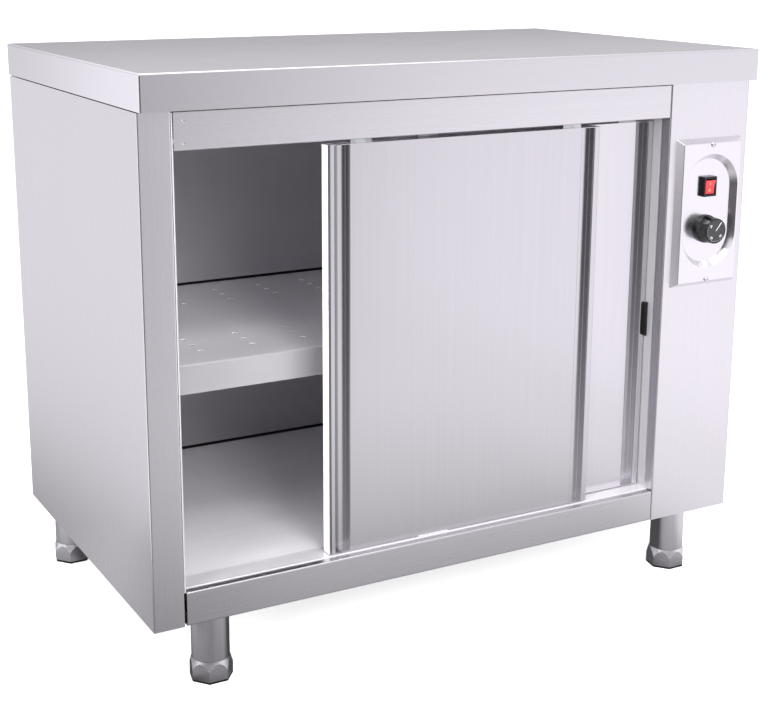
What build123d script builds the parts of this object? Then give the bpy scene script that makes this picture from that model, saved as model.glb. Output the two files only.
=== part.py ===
from build123d import *
from math import atan, cos, pi
import os

# Plate warmer cabinet with two hung sliding doors. Millimetres, +Z up.
# +X is to the right and +Y to the back for someone who stands in front of it.
# The origin is on the floor, under the middle of the cabinet.

# ------------------------------------------------------------------ whole cabinet
cabinet_width = 1000.0
cabinet_depth = 600.0
cabinet_height = 850.0
leg_height = 102.0          # floor to the underside of the body

# ------------------------------------------------------------------ sheet metal
sheet = 1.2                 # body panels
bend = 1.0                  # inside radius of a fold
seam = 1.6                  # open line between two panels
play = 0.3                  # gap between pieces that move past each other
slack = 0.2                 # gap between pieces that only lie side by side

# ------------------------------------------------------------------ worktop
worktop_sheet = 1.5
worktop_edge = 48.0         # height of its folded edge
worktop_lip = 12.0          # return under the edge
worktop_round = 2.6         # outside radius of its edges
worktop_gap = 1.8           # shadow line between worktop and body
front_overhang = 15.0
back_overhang = 2.0
side_overhang = 1.0
board_thickness = 18.0      # stiffening board under the sheet
channel_width = 60.0
channel_wall = 1.5
channel_spread = 300.0      # from one channel's middle to the other's

# ------------------------------------------------------------------ body
stile_width = 45.0
liner_edge = 3.0            # strip of the left liner that shows beside the stile
column_width = 154.0
header_height = 50.2
rail_height = 49.0
header_flange = 60.0        # depth of the header's top
header_return = 14.0        # depth of the fold under the header
sill_depth = 60.0
rail_return = 20.0          # like the depth of the folds beside the opening
jamb_depth = 20.0
back_flange = 25.0
top_flange = 25.0
back_cavity = 38.0          # back of the chamber to the back of the body
deck_setback = 14.0         # front of the body to the deck's edge
ceiling_lift = 2.0          # ceiling over the header's lower edge

# ------------------------------------------------------------------ doors
door_width = 453.0
door_thickness = 18.0
door_setback = 17.0         # front of the body to the outer door
door_pitch = 21.0           # from one door's front to the next one's
door_floor_gap = 1.3
door_header_gap = 8.0
door_sheet = 0.8
core_gap = 0.5              # door's core to its skin
flange_width = 10.5         # door's edge to its finger groove
groove_width = 22.0
groove_depth = 12.0
outer_door_middle = 0.0     # where the outer door stands at rest
rear_door_gap = 1.0         # closed rear door to the column

# ------------------------------------------------------------------ hanging gear
hanger_inset = 35.0         # door's edge to the hanger plate
hanger_width = 32.0
hanger_sheet = 2.0
hanger_grip = 36.0          # length of the plate inside the door
wheel_radius = 12.0
wheel_tread = 6.0
wheel_flange = 1.2
wheel_flange_radius = 14.0
axle_radius = 2.5
axle_play = 0.05
axle_head_radius = 4.5
axle_head = 1.6
axle_rise = 7.0            # axle's middle to the hanger's top
web_clearance = 1.5         # axle's end to the track's web
track_sheet = 1.2
track_floor = 14.0          # header's lower edge to the wheels' running face
guide_base = 1.0
guide_length = 50.0
guide_margin = 8.0          # fins to the edges of the guide's base
fin_length = 16.0
fin_thickness = 2.5
fin_height = 11.0
fin_play = 0.4
slot_margin = 1.0

# ------------------------------------------------------------------ door stops
stop_height = 54.0
stop_middle = 429.0
stop_reach = 5.5            # how far a stop stands out from the wall
stop_thickness = 4.9
left_stop_thickness = 10.0
left_stop_setback = 4.0     # a door's front to its left stop
stop_chamfer = 3.0
track_stop_height = 20.0

# ------------------------------------------------------------------ shelf
shelf_top = 442.5
shelf_edge = 41.5
shelf_setback = 87.0        # front of the body to the shelf
shelf_return = 12.0
shelf_clearance = 0.6
hole_diameter = 8.0
hole_first = 88.0           # left wall to the first column of holes
hole_last = 68.0            # last column of holes to the right wall
hole_columns = 9
hole_row_pitch = 33.3
hole_group_spread = 269.0   # from the front group's middle to the back group's
bracket_leg = 20.0
bracket_length = 390.0

# ------------------------------------------------------------------ control plate
plate_width = 127.0
plate_height = 231.0
plate_raise = 11.5
plate_bevel = 7.0
plate_sheet = 0.8
plate_round = 1.2
plate_offset = 0.2          # plate's middle right of the column's middle
plate_drop = 199.7          # body's top to the plate's middle
recess_radius = 53.0
recess_depth = 9.5
recess_wall = 8.0           # run of the recess's sloping wall
recess_span = 72.0          # between the middles of its two round ends
recess_lift = 2.5           # plate's middle to the recess's middle
plate_screw_spread = 212.0
screw_radius = 2.0
screw_play = 0.15
screw_head_radius = 3.9
screw_head = 2.4
screw_length = 22.0
cross_width = 1.1
cross_length = 4.6
cross_depth = 1.2

# ------------------------------------------------------------------ rocker switch
switch_lift = 40.5          # plate's middle to the switch's middle
bezel_width = 25.0
bezel_height = 31.0
bezel_depth = 8.0
bezel_side = 2.8            # walls beside the rocker
bezel_end = 3.2             # walls over and under it
bezel_round = 0.8
switch_pit = 3.0            # hollow behind the recess floor
switch_body_width = 21.6
switch_body_height = 27.6
switch_body_depth = 24.0
rocker_tilt = 8.0
rocker_pivot = 3.0          # recess floor to the rocker's axis
rocker_rise = 5.0           # rocker's axis to its ends' tips
rocker_dip = 1.2            # hollow in the rocker's middle
rocker_half = 11.0
rocker_heel = 9.0           # half height of the rocker's back
rocker_back = 1.0           # rocker's axis to its back
rocker_play = 0.4
rocker_pin_radius = 1.0
rocker_pin_reach = 1.5      # pin inside each side wall
pin_play = 0.05

# ------------------------------------------------------------------ thermostat and knob
knob_drop = 26.5            # plate's middle down to the knob's middle
knob_base_radius = 22.0
knob_front_radius = 19.6
knob_depth = 25.7
knob_skirt = 4.0
knob_round = 1.2
spindle_radius = 3.0
spindle_play = 0.05
spindle_grip = 14.0         # length of the spindle inside the knob
spindle_root = 6.0          # length of the spindle inside the thermostat
bush_radius = 5.0
thermostat_size = 46.0
thermostat_depth = 28.0
capillary_radius = 1.0
capillary_bend = 10.0
capillary_drop = 31.0
capillary_way_back = 136.0
capillary_lead = 20.0       # wall hole to the bulb
bulb_radius = 3.0
bulb_length = 90.0
bulb_standoff = 7.0         # bulb's middle to the column's wall
bulb_clip = 8.0

# ------------------------------------------------------------------ air heater in the column
duct_sheet = 1.0
duct_width = 80.0
duct_front = -40.0
duct_back = 150.0
duct_bottom = 180.0
duct_top = 620.0
fan_z = 540.0
fan_radius = 52.0
fan_width = 28.0
fan_disc = 1.5
fan_hub_radius = 9.0
fan_blades = 10
fan_blade_sheet = 1.2
fan_blade_inner = 28.0
fan_blade_lean = 35.0       # degrees off the radius
fan_setback = 8.0           # column's wall to the blades
fan_hub = 16.0
shaft_radius = 3.0
shaft_play = 0.05
shaft_depth = 27.0          # shaft inside the motor
motor_radius = 30.0
motor_length = 42.0
motor_foot = 70.0
motor_plate = 2.0
shaft_hole_radius = 6.0
intake_radius = 50.0
outlet_width = 140.0
outlet_height = 100.0
outlet_z = 250.0
grille_margin = 14.0
grille_slots = 6
grille_slot = 7.0
grille_border = 12.0        # grille's edge to its slots
element_radius = 4.0
element_bend = 14.0
element_pitch = 30.0
element_low = 330.0
element_passes = 4
element_margin = 20.0       # duct's ends to the element
element_hole_play = 0.3
element_tail = 12.0         # element's ends beyond the duct

# ------------------------------------------------------------------ mains entry
entry_inset = 79.0              # body's right side to the gland's middle
gland_lift = 88.0               # body's underside to the gland's middle
gland_radius = 9.0
gland_bore = 4.5
gland_cap_radius = 11.0
gland_reach = 16.2
gland_sides = 6
gland_hex = 24.0
gland_hex_height = 5.0
gland_inside = 12.0
terminal_lift = 148.0           # body's underside to the terminal block
terminal_width = 60.0
terminal_height = 22.0
terminal_depth = 20.0
terminal_ways = 3
terminal_hole = 2.5
back_screw_count = 5            # on each side
back_screw_margin = 38.0        # body's underside or top to the nearest screw
back_screw_length = 9.0     # under its head
back_screw_head = 2.5
back_screw_head_radius = 4.5

# ------------------------------------------------------------------ legs and feet
front_left_leg_inset = 97.0     # worktop's left side to the leg's middle
front_right_leg_inset = 87.0
rear_leg_inset = 50.5
leg_setback = 54.5              # worktop's front or back to the leg's middle
tube_radius = 27.0
tube_wall = 1.5
leg_plate = 70.0
leg_plate_sheet = 3.0
plug_height = 16.0
stem_radius = 6.0
stem_play = 0.05
stem_length = 62.0          # above the foot
foot_sides = 7
foot_radius = 31.4          # to its corners
foot_height = 32.0
foot_edge_top = 17.5        # where the corners' chamfer starts
foot_cone_top = 27.2        # radius of that chamfer at the foot's top
pad_height = 3.3

# ------------------------------------------------------------------ derived places
worktop_bottom = cabinet_height - worktop_edge
body_top = worktop_bottom - worktop_gap
body_bottom = leg_height
body_left = side_overhang - cabinet_width / 2
body_right = cabinet_width / 2 - side_overhang
body_front = front_overhang - cabinet_depth / 2
body_back = cabinet_depth / 2 - back_overhang
stile_right = body_left + stile_width
opening_left = stile_right + liner_edge
opening_right = body_right - column_width
opening_bottom = body_bottom + rail_height
opening_top = body_top - header_height
deck_top = opening_bottom + sheet
chamber_back = body_back - back_cavity
ceiling = opening_top + ceiling_lift
inner_left = body_left + sheet
inner_right = body_right - sheet
inner_front = body_front + sheet
flange_front = body_back - sheet            # inner face of the side panels' back flanges
inner_back = flange_front - sheet           # inner face of the back panel
inner_bottom = body_bottom + sheet
inner_top = body_top - sheet
column_wall_right = opening_right + sheet

door_bottom = deck_top + door_floor_gap
door_top = opening_top - door_header_gap
door_fronts = {"outer": body_front + door_setback, "rear": body_front + door_setback + door_pitch}
door_middles = {"outer": outer_door_middle, "rear": opening_right - rear_door_gap - door_width / 2}
leftmost = opening_left + stop_reach + play + door_width / 2
rightmost = opening_right - stop_reach - play - door_width / 2
guide_middle = (leftmost + rightmost) / 2
travel_left = {name: middle - leftmost for name, middle in door_middles.items()}
travel_right = {"outer": rightmost - outer_door_middle, "rear": 0.0}

hanger_fronts = {name: front + door_sheet for name, front in door_fronts.items()}
wheel_fronts = {name: front + hanger_sheet + play for name, front in hanger_fronts.items()}
wheel_width = wheel_flange + wheel_tread
web_fronts = {
    name: front + wheel_width + play + axle_head + web_clearance
    for name, front in wheel_fronts.items()
}
roof_front = web_fronts["rear"] + track_sheet
running_face = opening_top + track_floor
axle_z = running_face + play + wheel_radius
hanger_reach = door_width / 2 - hanger_inset - hanger_width / 2    # door's middle to a hanger's

plate_x = (opening_right + body_right) / 2 + plate_offset
plate_front = body_front - plate_raise
plate_middle_z = body_top - plate_drop
recess_middle_z = plate_middle_z + recess_lift
switch_middle_z = plate_middle_z + switch_lift
knob_middle_z = plate_middle_z - knob_drop
recess_floor = plate_front + recess_depth
rocker_y = recess_floor - rocker_pivot
capillary_start = inner_front + thermostat_depth / 2
capillary_y = capillary_start + capillary_way_back
capillary_z = knob_middle_z - thermostat_size / 2 - capillary_drop
duct_right = column_wall_right + duct_width
entry_x = body_right - entry_inset
gland_z = body_bottom + gland_lift
terminal_z = body_bottom + terminal_lift
fan_y = (duct_front + duct_back) / 2
fan_back = column_wall_right + fan_setback + fan_width
leg_y = cabinet_depth / 2 - leg_setback
rear_leg_x = cabinet_width / 2 - rear_leg_inset
legs = {
    "front_left": (front_left_leg_inset - cabinet_width / 2, -leg_y),
    "front_right": (cabinet_width / 2 - front_right_leg_inset, -leg_y),
    "rear_left": (-rear_leg_x, leg_y),
    "rear_right": (rear_leg_x, leg_y),
}


# ------------------------------------------------------------------ helpers
def block(x0, x1, y0, y1, z0, z1):
    """A box between two corners."""
    middle = Pos((x0 + x1) / 2, (y0 + y1) / 2, (z0 + z1) / 2)
    return middle * Box(x1 - x0, y1 - y0, z1 - z0)


def rod(radius, start, end):
    """A round bar from one point to another."""
    way = Vector(*end) - Vector(*start)
    return Plane(origin=start, z_dir=way) * Pos(0, 0, way.length / 2) * Cylinder(radius, way.length)


def bar(sides, across, start, end):
    """A bar with flat sides, given by its width across two of them."""
    way = Vector(*end) - Vector(*start)
    section = RegularPolygon(across / 2 / cos(pi / sides), sides)
    return Plane(origin=start, z_dir=way) * extrude(section, way.length)


def folded(path, thickness):
    """Section of a sheet folded along a path, with the sheet on the path's left."""
    line = [Vector(*point) for point in path]
    ways = [(b - a).normalized() for a, b in zip(line, line[1:])]
    lefts = [Vector(-way.Y, way.X) for way in ways]
    far = [line[0] + lefts[0] * thickness]
    for corner, a, b in zip(line[1:], lefts, lefts[1:]):
        far.append(corner + (a + b) * (thickness / (1 + a.dot(b))))
    far.append(line[-1] + lefts[-1] * thickness)
    turns = [a.cross(b).Z for a, b in zip(ways, ways[1:])]
    near_radii = [bend + thickness if turn > 0 else bend for turn in turns]
    far_radii = [bend if turn > 0 else bend + thickness for turn in turns]
    near_side = FilletPolyline(*line, radius=near_radii)
    far_side = FilletPolyline(*far, radius=far_radii)
    ends = [Line(line[0], far[0]), Line(line[-1], far[-1])]
    return make_face([*near_side.edges(), *far_side.edges(), *ends])


def along_x(section, x0, x1):
    """A (Y, Z) section carried from x0 to x1."""
    return Pos(x0, 0, 0) * extrude(Plane.YZ * section, x1 - x0)


def along_z(section, z0, z1):
    """An (X, Y) section carried from z0 to z1."""
    return Pos(0, 0, z0) * extrude(section, z1 - z0)


def round_along(path, radius):
    """A round bar along a path."""
    return sweep(Plane(origin=path @ 0, z_dir=path % 0) * Circle(radius), path=path)


def save(name, *solids):
    """Write one node, made of one solid or of several like ones."""
    shape = solids[0] if len(solids) == 1 else Compound(children=list(solids))
    shape.label = name
    export_step(shape, f"parts/{name}.step")


# ------------------------------------------------------------------ worktop
def worktop():
    half_w = cabinet_width / 2
    half_d = cabinet_depth / 2
    t = worktop_sheet
    outer = block(-half_w, half_w, -half_d, half_d, worktop_bottom, cabinet_height)
    rims = outer.edges().filter_by(Axis.Z) + outer.edges().group_by(Axis.Z)[-1]
    outer = fillet(rims, worktop_round)
    hollow = block(t - half_w, half_w - t, t - half_d, half_d - t, worktop_bottom + t, cabinet_height - t)
    half_w -= worktop_lip
    half_d -= worktop_lip
    mouth = block(-half_w, half_w, -half_d, half_d, worktop_bottom, worktop_bottom + t)
    return outer - hollow - mouth


def worktop_board():
    half_w = cabinet_width / 2 - worktop_sheet - slack
    half_d = cabinet_depth / 2 - worktop_sheet - slack
    top = cabinet_height - worktop_sheet
    return block(-half_w, half_w, -half_d, half_d, top - board_thickness, top)


def worktop_channels():
    """Two box channels that carry the worktop on the side panels' top flanges."""
    half_w = cabinet_width / 2 - worktop_lip - worktop_sheet
    top = cabinet_height - worktop_sheet - board_thickness
    t = channel_wall
    channels = []
    for middle in (-channel_spread / 2, channel_spread / 2):
        y0 = middle - channel_width / 2
        y1 = middle + channel_width / 2
        bore = block(-half_w, half_w, y0 + t, y1 - t, body_top + t, top - t)
        channels.append(block(-half_w, half_w, y0, y1, body_top, top) - bore)
    return channels


# ------------------------------------------------------------------ outer body
def back_screw_places():
    reach = body_right - back_flange / 2
    low = body_bottom + back_screw_margin
    pitch = (body_top - back_screw_margin - low) / (back_screw_count - 1)
    return [(side * reach, low + row * pitch) for side in (-1, 1) for row in range(back_screw_count)]


def back_screw_holes():
    holes = [
        rod(screw_radius + screw_play, (x, inner_back - sheet, z), (x, body_back + sheet, z))
        for x, z in back_screw_places()
    ]
    return Compound(children=holes)


def back_screws():
    screws = []
    for x, z in back_screw_places():
        shank = rod(screw_radius, (x, body_back - back_screw_length, z), (x, body_back, z))
        head = rod(back_screw_head_radius, (x, body_back, z), (x, body_back + back_screw_head, z))
        head = fillet(head.edges().group_by(Axis.Y)[-1], back_screw_head / 2)
        screws.append(shank + head)
    return screws


def leg_holes():
    """Round bars where the four leg tubes pass the sheets at the bottom."""
    low = body_bottom - sheet
    high = inner_bottom + sheet
    holes = [rod(tube_radius + slack, (x, y, low), (x, y, high)) for x, y in legs.values()]
    return Compound(children=holes)


def side_panel_left():
    path = [
        (body_left + back_flange, body_back),
        (body_left, body_back),
        (body_left, body_front),
        (stile_right, body_front),
        (stile_right, body_front + jamb_depth),
    ]
    panel = along_z(folded(path, sheet), body_bottom, body_top)
    flange = block(inner_left, body_left + top_flange, inner_front, inner_back, inner_top, body_top)
    return panel + flange - back_screw_holes()


def side_panel_right():
    path = [
        (body_right, inner_front + slack),
        (body_right, body_back),
        (body_right - back_flange, body_back),
    ]
    panel = along_z(folded(path, sheet), body_bottom, body_top)
    y0 = body_front + jamb_depth
    flange = block(body_right - top_flange, inner_right, y0, inner_back, inner_top, body_top)
    return panel + flange - back_screw_holes()


def back_panel():
    half_w = inner_right - bend - slack
    panel = block(-half_w, half_w, inner_back, flange_front, body_bottom, body_top)
    y0 = inner_back - top_flange
    half_w = body_right - top_flange
    flange = block(-half_w, half_w, y0, inner_back, inner_top, body_top)
    entry = rod(gland_radius + slack, (entry_x, y0, gland_z), (entry_x, body_back, gland_z))
    return panel + flange - entry - back_screw_holes()


def bottom_pan():
    y0 = body_front + rail_return
    pan = block(inner_left, inner_right, y0, inner_back, body_bottom, inner_bottom)
    return pan - leg_holes()


def header():
    path = [
        (body_front + header_flange, body_top),
        (body_front, body_top),
        (body_front, opening_top),
        (body_front + header_return, opening_top),
    ]
    return along_x(folded(path, sheet), opening_left + slack, opening_right - seam)


def bottom_rail():
    path = [
        (body_front + sill_depth, opening_bottom),
        (body_front, opening_bottom),
        (body_front, body_bottom),
        (body_front + rail_return, body_bottom),
    ]
    rail = along_x(folded(path, sheet), opening_left + slack, opening_right - seam)
    return rail - leg_holes()


def plate_screw_places():
    half = plate_screw_spread / 2
    return [(plate_x, plate_middle_z - half), (plate_x, plate_middle_z + half)]


def front_holes():
    """What pierces the control plate and the column's front: screws, spindle bush, switch."""
    y0 = plate_front - sheet
    y1 = inner_front + sheet
    bars = [rod(screw_radius + screw_play, (x, y0, z), (x, y1, z)) for x, z in plate_screw_places()]
    bars.append(rod(bush_radius + slack, (plate_x, y0, knob_middle_z), (plate_x, y1, knob_middle_z)))
    half_w = switch_body_width / 2 + slack
    z0 = switch_middle_z - switch_body_height / 2 - slack
    z1 = switch_middle_z + switch_body_height / 2 + slack
    bars.append(block(plate_x - half_w, plate_x + half_w, y0, y1, z0, z1))
    return Compound(children=bars)


def column_front():
    path = [
        (opening_right, body_front + jamb_depth),
        (opening_right, body_front),
        (inner_right, body_front),
        (inner_right, body_front + jamb_depth),
    ]
    panel = along_z(folded(path, sheet), body_bottom, body_top)
    x0 = column_wall_right
    x1 = inner_right - sheet
    y1 = body_front + rail_return
    foot = block(x0, x1, inner_front, y1, body_bottom, inner_bottom)
    x1 = body_right - top_flange
    y1 = body_front + jamb_depth
    head = block(x0, x1, inner_front, y1, inner_top, body_top)
    return panel + foot + head - leg_holes() - front_holes()


# ------------------------------------------------------------------ heated chamber
def deck():
    y0 = body_front + deck_setback
    return block(opening_left, opening_right, y0, chamber_back, opening_bottom, deck_top)


def inner_left_wall():
    y0 = body_front + sheet / 2
    path = [
        (stile_right + slack, y0),
        (opening_left, y0),
        (opening_left, chamber_back + sheet),
    ]
    return along_z(folded(path, sheet), opening_bottom, inner_top)


def inner_back_wall():
    y1 = chamber_back + sheet
    return block(opening_left, opening_right, chamber_back, y1, opening_bottom, ceiling)


def inner_roof():
    y1 = chamber_back + sheet
    top = ceiling + sheet
    panel = block(opening_left, opening_right, roof_front, y1, ceiling, top)
    upstand = block(opening_left, opening_right, roof_front, roof_front + sheet, top, inner_top)
    return panel + upstand


def column_inner_wall():
    y0 = body_front + jamb_depth
    wall = block(opening_right, column_wall_right, y0, inner_back, inner_bottom, inner_top)
    x0 = opening_right - sheet
    x1 = column_wall_right + sheet
    intake = rod(intake_radius, (x0, fan_y, fan_z), (x1, fan_y, fan_z))
    half_w = outlet_width / 2
    half_h = outlet_height / 2
    outlet = block(x0, x1, fan_y - half_w, fan_y + half_w, outlet_z - half_h, outlet_z + half_h)
    port = rod(bulb_radius + slack, (x0, capillary_y, capillary_z), (x1, capillary_y, capillary_z))
    return wall - intake - outlet - port


def leg_pockets():
    """Room for the leg plates in the insulation."""
    half = leg_plate / 2 + slack
    top = inner_bottom + leg_plate_sheet + slack
    pockets = [block(x - half, x + half, y - half, y + half, body_bottom, top) for x, y in legs.values()]
    return Compound(children=pockets)


def left_insulation():
    x1 = opening_left - sheet - slack
    y0 = body_front + jamb_depth + slack
    y1 = body_back - back_screw_length - slack
    slab = block(inner_left + slack, x1, y0, y1, inner_bottom + slack, inner_top - slack)
    return slab - leg_pockets()


def back_insulation():
    y0 = chamber_back + sheet + slack
    y1 = inner_back - slack
    x1 = opening_right - slack
    slab = block(opening_left, x1, y0, y1, inner_bottom + slack, inner_top - slack)
    return slab - leg_pockets()


def roof_insulation():
    y0 = roof_front + sheet + slack
    y1 = chamber_back + sheet
    z0 = ceiling + sheet + slack
    return block(opening_left + slack, opening_right - slack, y0, y1, z0, inner_top - slack)


def floor_insulation():
    y0 = body_front + sill_depth + slack
    x1 = opening_right - slack
    z1 = opening_bottom - slack
    slab = block(opening_left, x1, y0, chamber_back, inner_bottom + slack, z1)
    return slab - leg_pockets()


# ------------------------------------------------------------------ shelf
def shelf_holes():
    """Two groups of three holes in every column."""
    first_x = opening_left + hole_first
    pitch = (opening_right - hole_last - first_x) / (hole_columns - 1)
    middle_y = (body_front + shelf_setback + chamber_back) / 2
    z0 = shelf_top - 2 * sheet
    z1 = shelf_top + sheet
    holes = []
    for column in range(hole_columns):
        x = first_x + column * pitch
        for group in (-hole_group_spread / 2, hole_group_spread / 2):
            for row in (-1, 0, 1):
                y = middle_y + group + row * hole_row_pitch
                holes.append(rod(hole_diameter / 2, (x, y, z0), (x, y, z1)))
    return Compound(children=holes)


def shelf():
    x0 = opening_left + shelf_clearance
    x1 = opening_right - shelf_clearance
    y0 = body_front + shelf_setback
    y1 = chamber_back - slack
    z0 = shelf_top - shelf_edge
    tray = block(x0, x1, y0, y1, z0, shelf_top)
    tray = fillet(tray.edges().group_by(Axis.Z)[-1], bend + sheet)
    hollow = block(x0 + sheet, x1 - sheet, y0 + sheet, y1 - sheet, z0 + sheet, shelf_top - sheet)
    mouth = block(x0 + sheet, x1 - sheet, y0 + shelf_return, y1 - sheet, z0, z0 + sheet)
    return tray - hollow - mouth - shelf_holes()


def shelf_brackets():
    """Two angles on the chamber's side walls, under the shelf's edges."""
    top = shelf_top - shelf_edge
    middle_y = (body_front + shelf_setback + chamber_back) / 2
    y0 = middle_y - bracket_length / 2
    y1 = middle_y + bracket_length / 2
    brackets = []
    for wall, side in ((opening_left, 1), (opening_right, -1)):
        web = sorted((wall, wall + side * sheet))
        leg = sorted((wall, wall + side * bracket_leg))
        upright = block(*web, y0, y1, top - bracket_leg, top)
        brackets.append(upright + block(*leg, y0, y1, top - sheet, top))
    return brackets


# ------------------------------------------------------------------ sliding doors
def door_profile(name):
    """Outside of a door's front skin from its back left to its back right edge."""
    front = door_fronts[name]
    edge = door_width / 2
    outer = edge - flange_width
    inner = outer - groove_width
    floor = front + groove_depth
    back = front + door_thickness
    right = [(inner, front), (inner, floor), (outer, floor), (outer, front), (edge, front), (edge, back)]
    left = [(-x, y) for x, y in reversed(right)]
    return [(door_middles[name] + x, y) for x, y in left + right]


def door_outline(name):
    """A door seen from above, with its front corners rounded."""
    middle_y = door_fronts[name] + door_thickness / 2
    outline = Pos(door_middles[name], middle_y) * Rectangle(door_width, door_thickness)
    return fillet(outline.vertices().group_by(Axis.Y)[0], bend + door_sheet)


def hanger_middles(name):
    return [door_middles[name] - hanger_reach, door_middles[name] + hanger_reach]


def hanger_recess(name):
    """Room in a door for its two hanger plates."""
    y0 = hanger_fronts[name]
    y1 = y0 + hanger_sheet + slack
    half = hanger_width / 2 + slack
    z0 = door_top - hanger_grip - slack
    rooms = [block(x - half, x + half, y0, y1, z0, door_top) for x in hanger_middles(name)]
    return Compound(children=rooms)


def guide_slot(name):
    """Room in a door's bottom for the floor guide's fin, over the door's whole travel."""
    x0 = guide_middle - fin_length / 2 - travel_right[name] - slot_margin
    x1 = guide_middle + fin_length / 2 + travel_left[name] + slot_margin
    middle_y = door_fronts[name] + door_thickness / 2
    half = fin_thickness / 2 + fin_play
    return block(x0, x1, middle_y - half, middle_y + half, door_bottom, deck_top + fin_height + play)


def door_skin(name):
    t = door_sheet
    skin = along_z(folded(door_profile(name), t), door_bottom + t, door_top - t)
    skin += along_z(door_outline(name), door_bottom, door_bottom + t)
    skin += along_z(door_outline(name), door_top - t, door_top)
    return skin - hanger_recess(name) - guide_slot(name)


def door_back(name):
    t = door_sheet
    x0 = door_middles[name] - door_width / 2 + t
    x1 = door_middles[name] + door_width / 2 - t
    y1 = door_fronts[name] + door_thickness
    return block(x0, x1, y1 - t, y1, door_bottom + t, door_top - t)


def door_core(name):
    """Insulation inside a door, round its grooves, hangers and guide slot."""
    skin = door_sheet + core_gap
    middle = door_middles[name]
    front = door_fronts[name]
    edge = door_width / 2
    half = edge - skin
    y0 = front + skin
    y1 = front + door_thickness - skin
    core = block(middle - half, middle + half, y0, y1, door_bottom + skin, door_top - skin)
    outer = edge - flange_width + skin
    inner = edge - flange_width - groove_width - skin
    floor = front + groove_depth + skin
    for side in (-1, 1):
        x0, x1 = sorted((middle + side * inner, middle + side * outer))
        core -= block(x0, x1, front, floor, door_bottom, door_top)
    return core - hanger_recess(name) - guide_slot(name)


# ------------------------------------------------------------------ hanging gear
def door_hangers(name):
    """A door's two hanger plates, each with its axle."""
    front = hanger_fronts[name]
    end = wheel_fronts[name] + wheel_width + play
    hangers = []
    for x in hanger_middles(name):
        half = hanger_width / 2
        y1 = front + hanger_sheet
        plate = block(x - half, x + half, front, y1, door_top - hanger_grip, axle_z + axle_rise)
        axle = rod(axle_radius, (x, front, axle_z), (x, end, axle_z))
        head = rod(axle_head_radius, (x, front - axle_head, axle_z), (x, front, axle_z))
        rivet = rod(axle_head_radius, (x, end, axle_z), (x, end + axle_head, axle_z))
        hangers.append(plate + axle + head + rivet)
    return hangers


def door_wheel(name, x):
    """A wheel with a flange in front of the track's lip."""
    y0 = wheel_fronts[name]
    y1 = y0 + wheel_flange
    y2 = y1 + wheel_tread
    wheel = rod(wheel_flange_radius, (x, y0, axle_z), (x, y1, axle_z))
    wheel += rod(wheel_radius, (x, y1, axle_z), (x, y2, axle_z))
    return wheel - rod(axle_radius + axle_play, (x, y0, axle_z), (x, y2, axle_z))


def top_track():
    """A folded track with one web and one lip for each door's wheels."""
    t = track_sheet
    top = inner_top - t
    track = block(opening_left, opening_right, wheel_fronts["outer"], roof_front, top, inner_top)
    for name, web in web_fronts.items():
        lip_front = wheel_fronts[name] + wheel_flange + play
        track += block(opening_left, opening_right, web, web + t, running_face - t, top)
        track += block(opening_left, opening_right, lip_front, web, running_face - t, running_face)
    return track


def floor_guide():
    """A base on the deck with one fin for each door."""
    fins = {name: front + door_thickness / 2 for name, front in door_fronts.items()}
    half = guide_length / 2
    y0 = fins["outer"] - guide_margin
    y1 = fins["rear"] + guide_margin
    guide = block(guide_middle - half, guide_middle + half, y0, y1, deck_top, deck_top + guide_base)
    half = fin_length / 2
    for y in fins.values():
        y0 = y - fin_thickness / 2
        y1 = y + fin_thickness / 2
        guide += block(guide_middle - half, guide_middle + half, y0, y1, deck_top, deck_top + fin_height)
    return guide


def door_stops():
    """Rubber stops: one on the column, two on the left wall, one at the rear track's end."""
    z0 = stop_middle - stop_height / 2
    z1 = stop_middle + stop_height / 2
    y1 = door_fronts["rear"] - 2 * play
    stop = block(opening_right - stop_reach, opening_right, y1 - stop_thickness, y1, z0, z1)
    stops = [chamfer(stop.faces().sort_by(Axis.X)[0].edges().filter_by(Axis.Y), stop_chamfer)]
    for front in door_fronts.values():
        y0 = front + left_stop_setback
        stop = block(opening_left, opening_left + stop_reach, y0, y0 + left_stop_thickness, z0, z1)
        stops.append(chamfer(stop.faces().sort_by(Axis.X)[-1].edges().filter_by(Axis.Y), stop_chamfer))
    x0 = door_middles["rear"] + hanger_reach + hanger_width / 2 + play
    y0 = hanger_fronts["rear"] - play
    z1 = running_face + track_stop_height
    stops.append(block(x0, opening_right, y0, web_fronts["rear"], running_face, z1))
    return stops


# ------------------------------------------------------------------ control plate
def plate_plane(y, z):
    """Plane of the control plate's outlines, facing forward."""
    return Plane(origin=(plate_x, y, z), x_dir=(1, 0, 0), z_dir=(0, -1, 0))


def raised_block(inset, front):
    """The raised form of the plate, drawn in by an inset on all sides."""
    width = plate_width - 2 * inset
    height = plate_height - 2 * inset
    bevel = plate_bevel * (body_front - front) / plate_raise
    base = plate_plane(body_front, plate_middle_z) * Rectangle(width, height)
    face = plate_plane(front, plate_middle_z) * Rectangle(width - 2 * bevel, height - 2 * bevel)
    return loft([base, face], ruled=True)


def recess_block(growth, floor):
    """The recess with its sloping wall, made larger by a growth."""
    mouth = SlotCenterToCenter(recess_span, 2 * (recess_radius + growth), rotation=90)
    ground = SlotCenterToCenter(recess_span, 2 * (recess_radius - recess_wall + growth), rotation=90)
    mouth = plate_plane(plate_front, recess_middle_z) * mouth
    ground = plate_plane(floor, recess_middle_z) * ground
    return loft([mouth, ground], ruled=True)


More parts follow.
